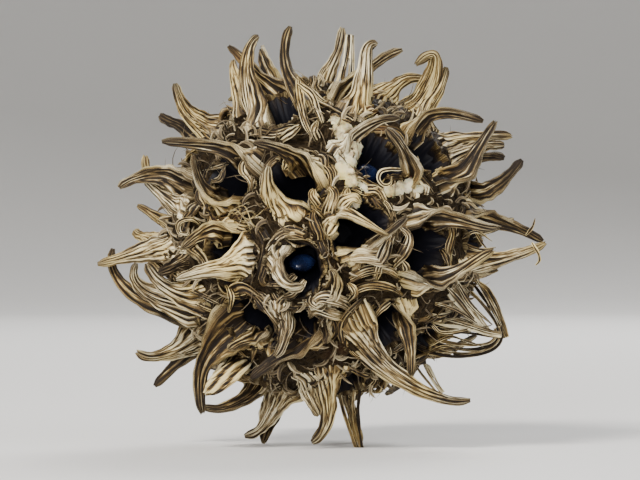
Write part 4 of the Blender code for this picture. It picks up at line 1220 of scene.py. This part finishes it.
class Shader:
    """A material under construction, with short calls for its nodes."""

    def __init__(self, name: str) -> None:
        """Start a material with its Principled shader.

        Args:
            name: the material's name.
        """
        self.material = bpy.data.materials.new(name)
        self.material.use_nodes = True
        self.tree = self.material.node_tree
        self.surface = self.tree.nodes["Principled BSDF"]

    def link(self, source: bpy.types.NodeSocket, target: bpy.types.NodeSocket) -> None:
        """Join two sockets."""
        self.tree.links.new(source, target)

    def value(self, name: str) -> bpy.types.NodeSocket:
        """A value stored at the points of the surface."""
        node = self.tree.nodes.new("ShaderNodeAttribute")
        node.attribute_name = name
        return node.outputs["Fac"]

    def place(self) -> bpy.types.NodeSocket:
        """The place in the object's own coordinates."""
        return self.tree.nodes.new("ShaderNodeTexCoord").outputs["Object"]

    def math(self, operation: str, first: object, second: object = 0.0, clamp: bool = False) -> bpy.types.NodeSocket:
        """A sum of two sockets or numbers.

        Args:
            operation: the name of the operation.
            first: a socket or a number.
            second: a socket or a number.
            clamp: whether the result is kept from 0 to 1.

        Returns:
            The result's socket.
        """
        node = self.tree.nodes.new("ShaderNodeMath")
        node.operation = operation
        node.use_clamp = clamp
        for number, given in enumerate((first, second)):
            if isinstance(given, bpy.types.NodeSocket):
                self.link(given, node.inputs[number])
            else:
                node.inputs[number].default_value = given
        return node.outputs[0]

    def combine(self, x: object, y: object, z: object) -> bpy.types.NodeSocket:
        """A vector from three sockets or numbers."""
        node = self.tree.nodes.new("ShaderNodeCombineXYZ")
        for given, target in zip((x, y, z), node.inputs):
            if isinstance(given, bpy.types.NodeSocket):
                self.link(given, target)
            else:
                target.default_value = given
        return node.outputs[0]

    def noise(self, vector: bpy.types.NodeSocket, scale: float, detail: float = 3.0, roughness: float = 0.55) -> bpy.types.NodeSocket:
        """Cloudy noise from 0 to 1.

        Args:
            vector: the coordinates.
            scale: how fine it is.
            detail: how many octaves it has.
            roughness: how strong the fine ones are.

        Returns:
            The noise's socket.
        """
        node = self.tree.nodes.new("ShaderNodeTexNoise")
        node.inputs["Scale"].default_value = scale
        node.inputs["Detail"].default_value = detail
        node.inputs["Roughness"].default_value = roughness
        self.link(vector, node.inputs["Vector"])
        return node.outputs["Fac"]

    def ramp(self, factor: bpy.types.NodeSocket, stops: Sequence[Stop]) -> bpy.types.NodeSocket:
        """Colours along a factor.

        Args:
            factor: the factor's socket.
            stops: the colours.

        Returns:
            The colour's socket.
        """
        node = self.tree.nodes.new("ShaderNodeValToRGB")
        elements = node.color_ramp.elements
        while len(elements) < len(stops):
            elements.new(0.5)
        for element, stop in zip(elements, stops):
            element.position = stop.place
            element.color = (*stop.colour, 1)
        self.link(factor, node.inputs["Fac"])
        return node.outputs["Color"]

    def mix(self, factor: object, first: object, second: object) -> bpy.types.NodeSocket:
        """A mix of two colours.

        Args:
            factor: a socket or a number.
            first: a socket or a colour.
            second: a socket or a colour.

        Returns:
            The mixed colour's socket.
        """
        node = self.tree.nodes.new("ShaderNodeMix")
        node.data_type = "RGBA"
        for given, target in ((factor, node.inputs[0]), (first, node.inputs[6]), (second, node.inputs[7])):
            if isinstance(given, bpy.types.NodeSocket):
                self.link(given, target)
            elif isinstance(given, tuple):
                target.default_value = (*given, 1)
            else:
                target.default_value = given
        return node.outputs[2]

    def tint(self, factor: bpy.types.NodeSocket, colour: bpy.types.NodeSocket, glaze: tuple) -> bpy.types.NodeSocket:
        """A colour seen through a thin glaze of another.

        Args:
            factor: how strong the glaze is.
            colour: the colour's socket.
            glaze: the glaze's colour.

        Returns:
            The glazed colour's socket.
        """
        node = self.tree.nodes.new("ShaderNodeMix")
        node.data_type = "RGBA"
        node.blend_type = "MULTIPLY"
        self.link(factor, node.inputs[0])
        self.link(colour, node.inputs[6])
        node.inputs[7].default_value = (*glaze, 1)
        return node.outputs[2]

    def bump(self, height: bpy.types.NodeSocket, depth: float, strength: float = 1.0) -> None:
        """Rough up the surface.

        Args:
            height: the height's socket.
            depth: how deep a height of 1 is, in metres.
            strength: how much of it is used.
        """
        node = self.tree.nodes.new("ShaderNodeBump")
        node.inputs["Distance"].default_value = depth
        node.inputs["Strength"].default_value = strength
        self.link(height, node.inputs["Height"])
        self.link(node.outputs["Normal"], self.surface.inputs["Normal"])


@dataclass(frozen=True)
class WoodFinish:
    """Dry ribbed wood: cream crests and dark grooves, partly the wood's own tone and partly painted shade,
    brown tips, and a near-black glossy inner wall in the chambers, partly its own colour and partly painted shade.
    """

    # Groove colour: the grooves' own dark tone and painted shade where the ridge value is low.
    furrow_and_painted_shade: tuple = (0.010, 0.006, 0.003)
    low: tuple = (0.070, 0.047, 0.022)
    middle: tuple = (0.24, 0.17, 0.078)
    crest: tuple = (0.77, 0.69, 0.46)
    straw: tuple = (0.86, 0.74, 0.44)
    tip: tuple = (0.028, 0.018, 0.012)
    red: tuple = (0.17, 0.065, 0.025)
    # Near-black chamber colour: partly the dark inner wall, partly painted shade.
    lining_and_painted_shade: tuple = (0.006, 0.006, 0.009)
    roughness: float = 0.62
    streaks: float = 0.55
    shine: float = 0.2

    def material(self, name: str, with_lining_and_shade: bool) -> bpy.types.Material:
        """Build the material.

        Args:
            name: its name.
            with_lining_and_shade: whether the surface runs into the chambers, where its colour runs to near black,
                partly as the dark inner wall and partly as painted shade.

        Returns:
            The material.
        """
        shader = Shader(name)
        grain_place = shader.combine(shader.math("MULTIPLY", shader.value("across"), 10.0),
                                     shader.math("MULTIPLY", shader.value("along"), 0.55), 0.0)
        grain = shader.noise(grain_place, 1.0, 4.0, 0.65)
        spots = shader.noise(shader.place(), 900, 3.0, 0.6)
        faded_place = shader.combine(shader.math("MULTIPLY", shader.value("across"), 3.0),
                                     shader.math("MULTIPLY", shader.value("along"), 0.3), 3.0)
        faded = shader.noise(faded_place, 1.0, 2.0, 0.5)
        patches = shader.noise(shader.place(), 190, 2.0, 0.5)
        pale = shader.value("pale")
        # Grooves darker and crests paler by the ridge value: partly the wood's own tone, partly painted shade in the
        # grooves.
        ridge_tone_and_shade = shader.math("ADD", shader.math("MULTIPLY", shader.math("SUBTRACT", shader.value("ridge"), 0.70), 1.75), 0.5)
        level = shader.math("ADD", ridge_tone_and_shade,
                            shader.math("MULTIPLY", shader.math("SUBTRACT", grain, 0.5), self.streaks * 3.4))
        level = shader.math("ADD", level, shader.math("MULTIPLY", shader.math("SUBTRACT", spots, 0.5), 0.45))
        level = shader.math("ADD", level, shader.math("MULTIPLY", shader.math("SUBTRACT", patches, 0.5), 0.7))
        level = shader.math("ADD", level, shader.math("MULTIPLY", shader.math("SUBTRACT", faded, 0.5), 1.0))
        line_place = shader.combine(shader.math("MULTIPLY", shader.value("across"), 5.0),
                                    shader.math("MULTIPLY", shader.value("along"), 0.28), 7.0)
        line = shader.math("ABSOLUTE", shader.math("SUBTRACT", shader.noise(line_place, 1.0, 2.0, 0.6), 0.5))
        line = shader.math("SUBTRACT", 1.0, shader.math("MULTIPLY", line, 16.0), clamp=True)
        level = shader.math("SUBTRACT", level, shader.math("MULTIPLY", line, 0.4))
        level = shader.math("ADD", level, shader.math("MULTIPLY", shader.math("SUBTRACT", pale, 0.6), 0.6), clamp=True)
        colour = shader.ramp(level, (Stop(0.12, self.furrow_and_painted_shade), Stop(0.38, self.low),
                                     Stop(0.66, self.middle), Stop(0.98, self.crest)))
        straw = shader.ramp(patches, (Stop(0.42, (0, 0, 0)), Stop(0.60, (1, 1, 1))))
        colour = shader.tint(shader.math("MULTIPLY", straw, 0.8), colour, self.straw)
        reddish = shader.math("MULTIPLY", shader.ramp(patches, (Stop(0.66, (0, 0, 0)), Stop(0.78, (1, 1, 1)))),
                              shader.math("SUBTRACT", 0.55, shader.math("MULTIPLY", pale, 0.5)))
        colour = shader.mix(reddish, colour, self.red)
        ended = shader.math("MULTIPLY", shader.math("SUBTRACT", shader.value("reach"), 0.74), 4.0, clamp=True)
        ended = shader.math("MULTIPLY", ended, shader.math("SUBTRACT", shader.math("MULTIPLY", spots, 1.5),
                                                           shader.math("MULTIPLY", pale, 0.45)), clamp=True)
        colour = shader.mix(ended, colour, self.tip)
        if with_lining_and_shade:
            crease_place = shader.combine(shader.math("MULTIPLY", shader.value("across"), 1.6),
                                          shader.math("MULTIPLY", shader.value("along"), 2.4), 0.0)
            crease = shader.noise(crease_place, 1.0, 4.0, 0.7)
            crease = shader.math("ABSOLUTE", shader.math("SUBTRACT", shader.math("MULTIPLY", crease, 2.0), 1.0))
            crease = shader.ramp(crease, (Stop(0.0, (1, 1, 1)), Stop(0.22, (0, 0, 0))))
            crease = shader.math("MULTIPLY", crease, shader.math("SUBTRACT", 1.0, shader.value("depth")))
            colour = shader.mix(shader.math("MULTIPLY", crease, 0.5), colour, self.middle)
        rough = shader.math("ADD", self.roughness, shader.math("MULTIPLY", shader.math("SUBTRACT", grain, 0.5), 0.3))
        if with_lining_and_shade:
            # Toward the chambers the colour runs to near black: partly the dark inner wall, partly painted shade.
            depth = shader.value("depth")
            colour = shader.mix(depth, colour, self.lining_and_painted_shade)
            rough = shader.math("SUBTRACT", rough, shader.math("MULTIPLY", depth, 0.12))
        shader.link(colour, shader.surface.inputs["Base Color"])
        shader.link(rough, shader.surface.inputs["Roughness"])
        shader.surface.inputs["Specular IOR Level"].default_value = self.shine
        height = shader.math("ADD", grain, shader.math("MULTIPLY", spots, 0.5))
        if with_lining_and_shade:
            height = shader.math("ADD", height, shader.math("MULTIPLY", crease, 2.5))
            height = shader.math("MULTIPLY", height, shader.math("SUBTRACT", 1.0, depth))
        shader.bump(height, 0.12 * MM)
        return shader.material


@dataclass(frozen=True)
class FrillFinish:
    """Dry papery scales and fibres, cream to brown from one to the next."""

    dark: tuple = (0.035, 0.023, 0.012)
    middle: tuple = (0.21, 0.155, 0.08)
    pale: tuple = (0.60, 0.52, 0.33)
    roughness: float = 0.7

    def material(self, name: str) -> bpy.types.Material:
        """Build the material."""
        shader = Shader(name)
        cloud = shader.noise(shader.place(), 1400, 3.0, 0.6)
        # The ridge value darkens the grooves between ribs: partly the scales' own tone, partly painted shade.
        level = shader.math("ADD", shader.math("MULTIPLY", shader.value("ridge"), 0.5),
                            shader.math("MULTIPLY", shader.value("pale"), 0.5))
        level = shader.math("ADD", level, shader.math("MULTIPLY", shader.math("SUBTRACT", cloud, 0.5), 0.9), clamp=True)
        colour = shader.ramp(level, (Stop(0.1, self.dark), Stop(0.5, self.middle), Stop(0.95, self.pale)))
        shader.link(colour, shader.surface.inputs["Base Color"])
        shader.surface.inputs["Roughness"].default_value = self.roughness
        shader.surface.inputs["Specular IOR Level"].default_value = 0.35
        shader.bump(cloud, 0.08 * MM)
        return shader.material


@dataclass(frozen=True)
class GrowthFinish:
    """Pale spongy growth, cream with yellow patches and brown pits."""

    cream: tuple = (0.62, 0.57, 0.40)
    yellow: tuple = (0.58, 0.47, 0.18)
    brown: tuple = (0.20, 0.14, 0.07)

    def material(self, name: str) -> bpy.types.Material:
        """Build the material."""
        shader = Shader(name)
        cloud = shader.noise(shader.place(), 420, 3.0, 0.6)
        pits = shader.noise(shader.place(), 1500, 3.0, 0.6)
        colour = shader.ramp(cloud, (Stop(0.40, self.cream), Stop(0.62, self.yellow)))
        colour = shader.mix(shader.ramp(pits, (Stop(0.50, (0, 0, 0)), Stop(0.68, (1, 1, 1)))), colour, self.brown)
        shader.link(colour, shader.surface.inputs["Base Color"])
        shader.surface.inputs["Roughness"].default_value = 0.5
        shader.surface.inputs["Subsurface Weight"].default_value = 0.2
        shader.surface.inputs["Subsurface Scale"].default_value = 0.3 * MM
        shader.bump(pits, 0.15 * MM)
        return shader.material


@dataclass(frozen=True)
class SeedFinish:
    """A hard glossy black seed coat, with a painted bluish reflection in cloudy patches."""

    dark: tuple = (0.007, 0.010, 0.026)
    painted_bluish_reflection: tuple = (0.016, 0.032, 0.105)
    roughness: float = 0.16

    def material(self, name: str) -> bpy.types.Material:
        """Build the material."""
        shader = Shader(name)
        cloud = shader.noise(shader.place(), 500, 2.0, 0.5)
        # The bluish stop is a painted reflection, scattered in cloudy patches over the dark coat.
        colour = shader.ramp(cloud, (Stop(0.38, self.dark), Stop(0.65, self.painted_bluish_reflection)))
        shader.link(colour, shader.surface.inputs["Base Color"])
        shader.surface.inputs["Roughness"].default_value = self.roughness
        shader.surface.inputs["Coat Weight"].default_value = 0.8
        shader.surface.inputs["Coat Roughness"].default_value = 0.09
        shader.bump(shader.noise(shader.place(), 900, 2.0, 0.5), 0.02 * MM)
        return shader.material


class Scatter:
    """A geometry tree that stands small curled blades on a surface."""

    SIZES = ("Density", "Length", "Width", "Curl", "Tilt")

    def __init__(self, name: str, ribbed: bool, steps: int, sides: int) -> None:
        """Build the tree.

        Args:
            name: the tree's name.
            ribbed: whether the blades' section is ribbed.
            steps: how many points a blade has along its length.
            sides: how many points its section has.
        """
        self.tree = bpy.data.node_groups.new(name, "GeometryNodeTree")
        face = self.tree.interface
        face.new_socket("Geometry", in_out="INPUT", socket_type="NodeSocketGeometry")
        self.sockets = {}
        for size in self.SIZES:
            self.sockets[size] = face.new_socket(size, in_out="INPUT", socket_type="NodeSocketFloat").identifier
        self.sockets["Seed"] = face.new_socket("Seed", in_out="INPUT", socket_type="NodeSocketInt").identifier
        self.sockets["Finish"] = face.new_socket("Finish", in_out="INPUT", socket_type="NodeSocketMaterial").identifier
        face.new_socket("Geometry", in_out="OUTPUT", socket_type="NodeSocketGeometry")
        self.given = self.tree.nodes.new("NodeGroupInput").outputs
        blade = self.blade(ribbed, steps, sides)
        self.place(blade)

    def node(self, kind: str, settings: Optional[dict] = None, **inputs: object) -> bpy.types.Node:
        """Add a node.

        Args:
            kind: its type.
            settings: values of its own properties.
            inputs: sockets or values, by the socket's identifier.

        Returns:
            The node.
        """
        node = self.tree.nodes.new(kind)
        for key, value in (settings or {}).items():
            setattr(node, key, value)
        by_identifier = {socket.identifier: socket for socket in node.inputs}
        for key, value in inputs.items():
            target = by_identifier[key.replace("__", " ")]
            if isinstance(value, bpy.types.NodeSocket):
                self.tree.links.new(value, target)
            else:
                target.default_value = value
        return node

    def sum(self, operation: str, first: object, second: object) -> bpy.types.NodeSocket:
        """A sum of two sockets or numbers."""
        return self.node("ShaderNodeMath", {"operation": operation}, Value=first, Value_001=second).outputs[0]

    def store(self, geometry: bpy.types.NodeSocket, domain: str, name: str, value: object) -> bpy.types.NodeSocket:
        """Keep a value with the geometry under a name."""
        node = self.node("GeometryNodeStoreNamedAttribute", {"domain": domain, "data_type": "FLOAT"},
                         Geometry=geometry, Name=name, Value=value)
        return node.outputs[0]

    def blade(self, ribbed: bool, steps: int, sides: int) -> bpy.types.NodeSocket:
        """One blade at full size, its root at the origin, along +Z."""
        line = self.node("GeometryNodeCurvePrimitiveLine").outputs[0]
        line = self.node("GeometryNodeResampleCurve", {}, Curve=line, Count=steps).outputs[0]
        share = self.node("GeometryNodeSplineParameter").outputs["Factor"]
        squared = self.sum("MULTIPLY", share, share)
        bent = self.sum("MULTIPLY", self.sum("MULTIPLY", squared, self.given["Curl"]), self.given["Length"])
        shorter = self.sum("MULTIPLY", self.sum("MULTIPLY", squared, share), self.sum("MULTIPLY", self.given["Curl"], -0.45))
        up = self.sum("MULTIPLY", self.sum("ADD", share, shorter), self.given["Length"])
        place = self.node("ShaderNodeCombineXYZ", {}, X=bent, Y=0.0, Z=up).outputs[0]
        line = self.node("GeometryNodeSetPosition", {}, Geometry=line, Position=place).outputs[0]
        line = self.store(line, "POINT", "reach", self.sum("MULTIPLY", share, 0.6))
        round_off = self.sum("POWER", self.sum("MAXIMUM", self.sum("SUBTRACT", 1.0, squared), 0.0), 0.6)
        thickness = self.sum("MULTIPLY", self.sum("MAXIMUM", round_off, 0.08), self.given["Width"])
        ring = self.node("GeometryNodeCurvePrimitiveCircle", {}, Resolution=sides, Radius=1.0).outputs[0]
        index = self.node("GeometryNodeInputIndex").outputs[0]
        crest = self.sum("MODULO", index, 2.0)
        if ribbed:
            where = self.node("GeometryNodeInputPosition").outputs[0]
            grow = self.sum("ADD", 0.72, self.sum("MULTIPLY", crest, 0.45))
            moved = self.node("ShaderNodeVectorMath", {"operation": "SCALE"}, Vector=where, Scale=grow).outputs[0]
            ring = self.node("GeometryNodeSetPosition", {}, Geometry=ring, Position=moved).outputs[0]
            ring = self.node("GeometryNodeTransform", {}, Geometry=ring, Scale=(0.3, 1.0, 1.0)).outputs[0]
        ring = self.store(ring, "POINT", "ridge", crest)
        return self.node("GeometryNodeCurveToMesh", {}, Curve=line, Profile__Curve=ring, Scale=thickness,
                         Fill__Caps=True).outputs[0]

    def place(self, blade: bpy.types.NodeSocket) -> None:
        """Stand the blades on the surface, and end the tree."""
        mask = self.node("GeometryNodeInputNamedAttribute", {"data_type": "FLOAT"}, Name="web").outputs[0]
        density = self.sum("MULTIPLY", self.given["Density"], mask)
        points = self.node("GeometryNodeDistributePointsOnFaces", {}, Mesh=self.given["Geometry"], Density=density,
                           Seed=self.given["Seed"])
        turned = self.node("FunctionNodeRandomValue", {"data_type": "FLOAT_VECTOR"}, Min=(-1.0, -1.0, -math.pi),
                           Max=(1.0, 1.0, math.pi), Seed=self.given["Seed"])
        tilt = self.node("ShaderNodeCombineXYZ", {}, X=self.given["Tilt"], Y=self.given["Tilt"], Z=1.0).outputs[0]
        turned = self.node("ShaderNodeVectorMath", {"operation": "MULTIPLY"}, Vector=turned.outputs[0], Vector_001=tilt)
        turned = self.node("FunctionNodeEulerToRotation", {}, Euler=turned.outputs[0]).outputs[0]
        turned = self.node("FunctionNodeRotateRotation", {"rotation_space": "LOCAL"}, Rotation=points.outputs["Rotation"],
                           Rotate__By=turned).outputs[0]
        size = self.node("FunctionNodeRandomValue", {"data_type": "FLOAT"}, Min_001=0.5, Max_001=1.3,
                         Seed=self.sum("ADD", self.given["Seed"], 5.0)).outputs[1]
        stood = self.node("GeometryNodeInstanceOnPoints", {}, Points=points.outputs[0], Instance=blade,
                          Rotation=turned, Scale=size).outputs[0]
        paleness = self.node("FunctionNodeRandomValue", {"data_type": "FLOAT"}, Min_001=0.0, Max_001=1.0,
                             Seed=self.sum("ADD", self.given["Seed"], 9.0)).outputs[1]
        stood = self.store(stood, "INSTANCE", "pale", paleness)
        real = self.node("GeometryNodeRealizeInstances", {}, Geometry=stood).outputs[0]
        real = self.node("GeometryNodeSetMaterial", {}, Geometry=real, Material=self.given["Finish"]).outputs[0]
        end = self.tree.nodes.new("NodeGroupOutput")
        self.tree.links.new(real, end.inputs[0])

    def bake(self, name: str, host: bpy.types.Object, material: bpy.types.Material, **sizes: float) -> bpy.types.Object:
        """Run the tree on a surface and keep the result as a plain mesh.

        Args:
            name: the new object's name.
            host: the object whose surface the blades stand on.
            material: their finish.
            sizes: the tree's inputs, by name.

        Returns:
            The new object.
        """
        modifier = host.modifiers.new(name, "NODES")
        modifier.node_group = self.tree
        for key, value in sizes.items():
            modifier[self.sockets[key.capitalize()]] = value
        modifier[self.sockets["Finish"]] = material
        host.update_tag()
        graph = bpy.context.evaluated_depsgraph_get()
        mesh = bpy.data.meshes.new_from_object(host.evaluated_get(graph))
        host.modifiers.remove(modifier)
        mesh.name = name
        if not mesh.materials:
            mesh.materials.append(material)
        mesh.shade_smooth()
        item = bpy.data.objects.new(name, mesh)
        bpy.context.scene.collection.objects.link(item)
        return item


def crust_point(spot: tuple, depth: float) -> Vector:
    """A point of the front half of the crust, from its place in the front view in millimetres."""
    radius = CRUST_RADIUS / MM - depth
    away = -math.sqrt(max(radius ** 2 - spot[0] ** 2 - spot[1] ** 2, 0))
    return Vector((spot[0], away, spot[1])) * MM


@dataclass
class Lumps:
    """Soft lumps melted into one body: the pale growth, or the undeveloped seeds."""

    name: str
    spots: tuple
    depth: float
    cell: float = 0.16 * MM
    rough: float = 0.22 * MM
    side_lumps: int = 3

    def make(self, material: bpy.types.Material) -> bpy.types.Object:
        """Build the body."""
        draw = random.Random(SEED)
        bm = bmesh.new()
        for spot, radius in self.spots:
            centre = crust_point(spot, self.depth)
            balls = [(centre, radius * MM * 0.9)]
            for _ in range(self.side_lumps):
                way = Vector((draw.uniform(-1, 1), draw.uniform(-1, 0.2), draw.uniform(-1, 1))).normalized()
                balls.append((centre + way * radius * 0.75 * MM, radius * draw.uniform(0.3, 0.5) * MM))
            for place, size in balls:
                made = bmesh.ops.create_icosphere(bm, subdivisions=3, radius=size)
                bmesh.ops.translate(bm, verts=made["verts"], vec=place)
        mesh = bpy.data.meshes.new(self.name)
        bm.to_mesh(mesh)
        bm.free()
        item = bpy.data.objects.new(self.name, mesh)
        bpy.context.scene.collection.objects.link(item)
        melt = item.modifiers.new("melt", "REMESH")
        melt.mode = "VOXEL"
        melt.voxel_size = self.cell
        graph = bpy.context.evaluated_depsgraph_get()
        item.data = bpy.data.meshes.new_from_object(item.evaluated_get(graph))
        item.modifiers.clear()
        bpy.data.meshes.remove(mesh)
        for vert in item.data.vertices:
            push = noise.turbulence(vert.co / (0.9 * MM), 3, False)
            vert.co += vert.normal * (push - 0.3) * self.rough
            vert.co += BALL_CENTRE
        item.data.materials.clear()
        item.data.materials.append(material)
        item.data.shade_smooth()
        return item


@dataclass
class SeedMaker:
    """A glossy seed: a flattened drop with a keel."""

    half_length: float = 1.6 * MM
    half_width: float = 1.05 * MM
    half_thickness: float = 0.75 * MM

    def make(self, lodged: LodgedSeed, material: bpy.types.Material) -> bpy.types.Object:
        """Build one seed where it is lodged.

        Args:
            lodged: which seed.
            material: its finish.

        Returns:
            The seed's object.
        """
        mouth = Vector(FRONT_CAPSULES[lodged.capsule].mouth).normalized()
        lean = math.radians(lodged.lean_deg)
        turn = mouth.to_track_quat("Z", "Y") @ Vector((0, 0, 1)).rotation_difference(
            Vector((math.sin(lean), 0, math.cos(lean))))
        centre = BALL_CENTRE + mouth * (CRUST_RADIUS - lodged.depth * MM)
        bm = bmesh.new()
        bmesh.ops.create_icosphere(bm, subdivisions=4, radius=1)
        for vert in bm.verts:
            x, y, z = vert.co
            narrow = 1 - 0.28 * max(z, 0) ** 1.5
            keel = 1 + 0.08 * math.exp(-(y / 0.18) ** 2) * (1 - z * z)
            dent = 1 - 0.05 * noise.noise(Vector((x, y, z)) * 2.2)
            local = Vector((x * self.half_width * narrow * keel, y * self.half_thickness * narrow * dent,
                            z * self.half_length * 0.99))
            vert.co = centre + turn @ local
        mesh = bpy.data.meshes.new(f"glossy_{lodged.node}")
        bm.to_mesh(mesh)
        bm.free()
        mesh.materials.append(material)
        mesh.shade_smooth()
        item = bpy.data.objects.new(mesh.name, mesh)
        bpy.context.scene.collection.objects.link(item)
        return item


@dataclass
class Studio:
    """A pale seamless floor, soft light and the camera."""

    floor_radius: float = 1.1
    rise_from: float = 0.55
    distance: float = 0.304
    lens: float = 200.0
    elevation_deg: float = 0.0
    floor_colour: tuple = (0.74, 0.73, 0.71)

    def floor(self) -> bpy.types.Object:
        """A round floor whose edge sweeps up into a backdrop."""
        bm = bmesh.new()
        bend = self.floor_radius - self.rise_from
        profile = [Vector((0, 0, 0)), Vector((self.rise_from, 0, 0))]
        for step in range(1, 17):
            angle = math.pi / 2 * step / 16
            profile.append(Vector((self.rise_from + bend * math.sin(angle), 0, bend * (1 - math.cos(angle)))))
        profile.append(Vector((self.floor_radius, 0, 1.4)))
        verts = [bm.verts.new(point) for point in profile]
        edges = [bm.edges.new(pair) for pair in zip(verts, verts[1:])]
        bmesh.ops.spin(bm, geom=verts + edges, cent=(0, 0, 0), axis=(0, 0, 1), angle=2 * math.pi, steps=96,
                       use_merge=True)
        bmesh.ops.remove_doubles(bm, verts=bm.verts, dist=1e-6)
        bmesh.ops.recalc_face_normals(bm, faces=bm.faces)
        mesh = bpy.data.meshes.new("studio_floor")
        bm.to_mesh(mesh)
        bm.free()
        mesh.shade_smooth()
        shader = Shader("studio paper")
        shader.surface.inputs["Base Color"].default_value = (*self.floor_colour, 1)
        shader.surface.inputs["Roughness"].default_value = 0.9
        mesh.materials.append(shader.material)
        item = bpy.data.objects.new("studio_floor", mesh)
        bpy.context.scene.collection.objects.link(item)
        return item

    def light(self, name: str, place: tuple, size: float, power: float, colour: tuple) -> None:
        """A square soft light aimed at the ball.

        Args:
            name: its name.
            place: where it stands.
            size: the length of its side.
            power: its power in watts.
            colour: its colour.
        """
        data = bpy.data.lights.new(name, "AREA")
        data.size = size
        data.energy = power
        data.color = colour
        item = bpy.data.objects.new(name, data)
        item.location = place
        item.rotation_euler = (BALL_CENTRE - Vector(place)).to_track_quat("-Z", "Y").to_euler()
        bpy.context.scene.collection.objects.link(item)

    def camera(self) -> None:
        """A long lens level with the ball's middle."""
        data = bpy.data.cameras.new("camera")
        data.lens = self.lens
        data.sensor_width = 36
        data.clip_start = 0.01
        item = bpy.data.objects.new("camera", data)
        lift = math.radians(self.elevation_deg)
        target = BALL_CENTRE + Vector((-0.17, 0, -0.085)) * MM
        item.location = target + Vector((0, -math.cos(lift), math.sin(lift))) * self.distance
        item.rotation_euler = (target - item.location).to_track_quat("-Z", "Y").to_euler()
        bpy.context.scene.collection.objects.link(item)
        bpy.context.scene.camera = item

    def build(self) -> None:
        """Set up the whole studio."""
        self.floor()
        self.light("key light", (-0.26, -0.36, 0.40), 0.14, 4.9, (1.0, 0.97, 0.93))
        self.light("fill light", (0.42, -0.30, 0.16), 0.35, 1.2, (0.95, 0.97, 1.0))
        self.light("front light", (-0.05, -0.42, 0.09), 0.15, 1.3, (1.0, 1.0, 1.0))
        self.light("rim light", (0.15, 0.42, 0.38), 0.25, 3.0, (1.0, 1.0, 1.0))
        world = bpy.data.worlds.new("studio air")
        bpy.context.scene.world = world
        world.use_nodes = True
        world.node_tree.nodes["Background"].inputs["Color"].default_value = (0.9, 0.93, 1.0, 1)
        world.node_tree.nodes["Background"].inputs["Strength"].default_value = 0.16
        self.camera()


def attach(item: bpy.types.Object, slot: str, *nodes: str) -> bpy.types.Object:
    """Attach a piece to the root body, and hide the imported nodes that it stands for.

    Args:
        item: the piece.
        slot: the name of a material slot; not used.
        nodes: the nodes.

    Returns:
        The piece.
    """
    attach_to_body(item, "root")
    if nodes:
        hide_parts(*nodes)
    LOG.info("%s: %d faces", item.name, len(item.data.polygons))
    return item


@dataclass
class SeedBall:
    """The whole seed ball."""

    plan: Plan = field(default_factory=Plan)
    beak_maker: BeakMaker = field(default_factory=BeakMaker)

    def beak_patches(self, capsules: list) -> list[tuple[bool, Patch]]:
        """Every beak, with whether it is one of the table's."""
        draw = random.Random(SEED + 1)
        patches = []
        for number, capsule in enumerate(capsules):
            for side, beak in enumerate(capsule.beaks):
                usual = BeakLook(draw.uniform(0.5, 0.8), draw.choice((3, 4, 4, 5)),
                                 draw.choice((Tip.WORN, Tip.WORN, Tip.TORN)))
                look = BEAK_LOOKS.get((number, side), usual)
                own_draw = random.Random(1000 * number + side)
                make = self.beak_maker.make_open if look.open else self.beak_maker.make
                made = make(capsule, beak, look, own_draw)
                patches.extend((number, patch) for patch in (made if look.open else [made]))
        return patches

    def build(self) -> None:
        """Make and dress every piece."""
        wood = WoodFinish().material("ribbed wood", False)
        # The crust's wood is darker than the beaks', most in its low places: partly its own tone, partly painted shade.
        crust_wood = WoodFinish(crest=(0.44, 0.36, 0.20), middle=(0.115, 0.078, 0.038), low=(0.030, 0.019, 0.009),
                                shine=0.1).material("crust wood", True)
        scales = FrillFinish().material("dry scales")
        fibre = FrillFinish(pale=(0.62, 0.56, 0.42)).material("dry fibres")
        capsules = self.plan.capsules()
        crust = Crust(capsules)
        draw = random.Random(SEED + 2)
        patches = [outward(crust.surface())] + [outward(crust.collar(number, draw)) for number in range(len(capsules))]
        body = object_from_patches("woody_crust", patches, crust_wood)
        beaks = self.beak_patches(capsules)
        half = len(FRONT_CAPSULES) // 2
        groups = (("beaks_upper", 0, half), ("beaks_lower", half, len(FRONT_CAPSULES)),
                  ("beaks_back", len(FRONT_CAPSULES), len(capsules)))
        pieces = [body]
        for name, low, high in groups:
            chosen = [patch for number, patch in beaks if low <= number < high]
            pieces.append(object_from_patches(name, chosen, wood))
        rims = Rims(crust)
        pieces.append(object_from_patches("rim_folds", rims.strips_of("fold"), wood))
        pieces.append(object_from_patches("rim_lobes", rims.strips_of("lobe"), wood))
        named = [rims.frill(row, random.Random(500 + index)) for index, row in enumerate(FRILLS)]
        pieces.append(object_from_patches("frills_and_threads", named, wood))
        blades = Scatter("curled scales", True, 6, 8)
        pieces.append(blades.bake("crust_scales", body, scales, density=0.6e6, length=1.2 * MM, width=0.19 * MM,
                                  curl=0.8, tilt=0.8, seed=3))
        hairs = Scatter("fine fibres", False, 7, 3)
        pieces.append(hairs.bake("fine_fibres", body, fibre, density=0.3e6, length=2.0 * MM, width=0.04 * MM,
                                 curl=1.1, tilt=1.1, seed=8))
        growth = GrowthFinish().material("pale growth")
        pieces.append(Lumps("pale_growth", GROWTHS, 0.0).make(growth))
        pale = GrowthFinish(cream=(0.50, 0.43, 0.33), yellow=(0.42, 0.33, 0.20)).material("undeveloped seeds")
        pieces.append(Lumps("undeveloped_seeds", PALE_SEEDS, 0.6, side_lumps=1).make(pale))
        for piece in pieces:
            attach(piece, "woody head", "seed_ball")
        coat = SeedFinish().material("seed coat")
        for lodged in LODGED_SEEDS:
            attach(SeedMaker().make(lodged, coat), "glossy seed", lodged.node)


def main() -> None:
    """Build the studio and the seed ball."""
    logging.basicConfig(level=logging.INFO, format="%(message)s")
    Studio().build()
    SeedBall().build()


if __name__ == "__main__":
    main()
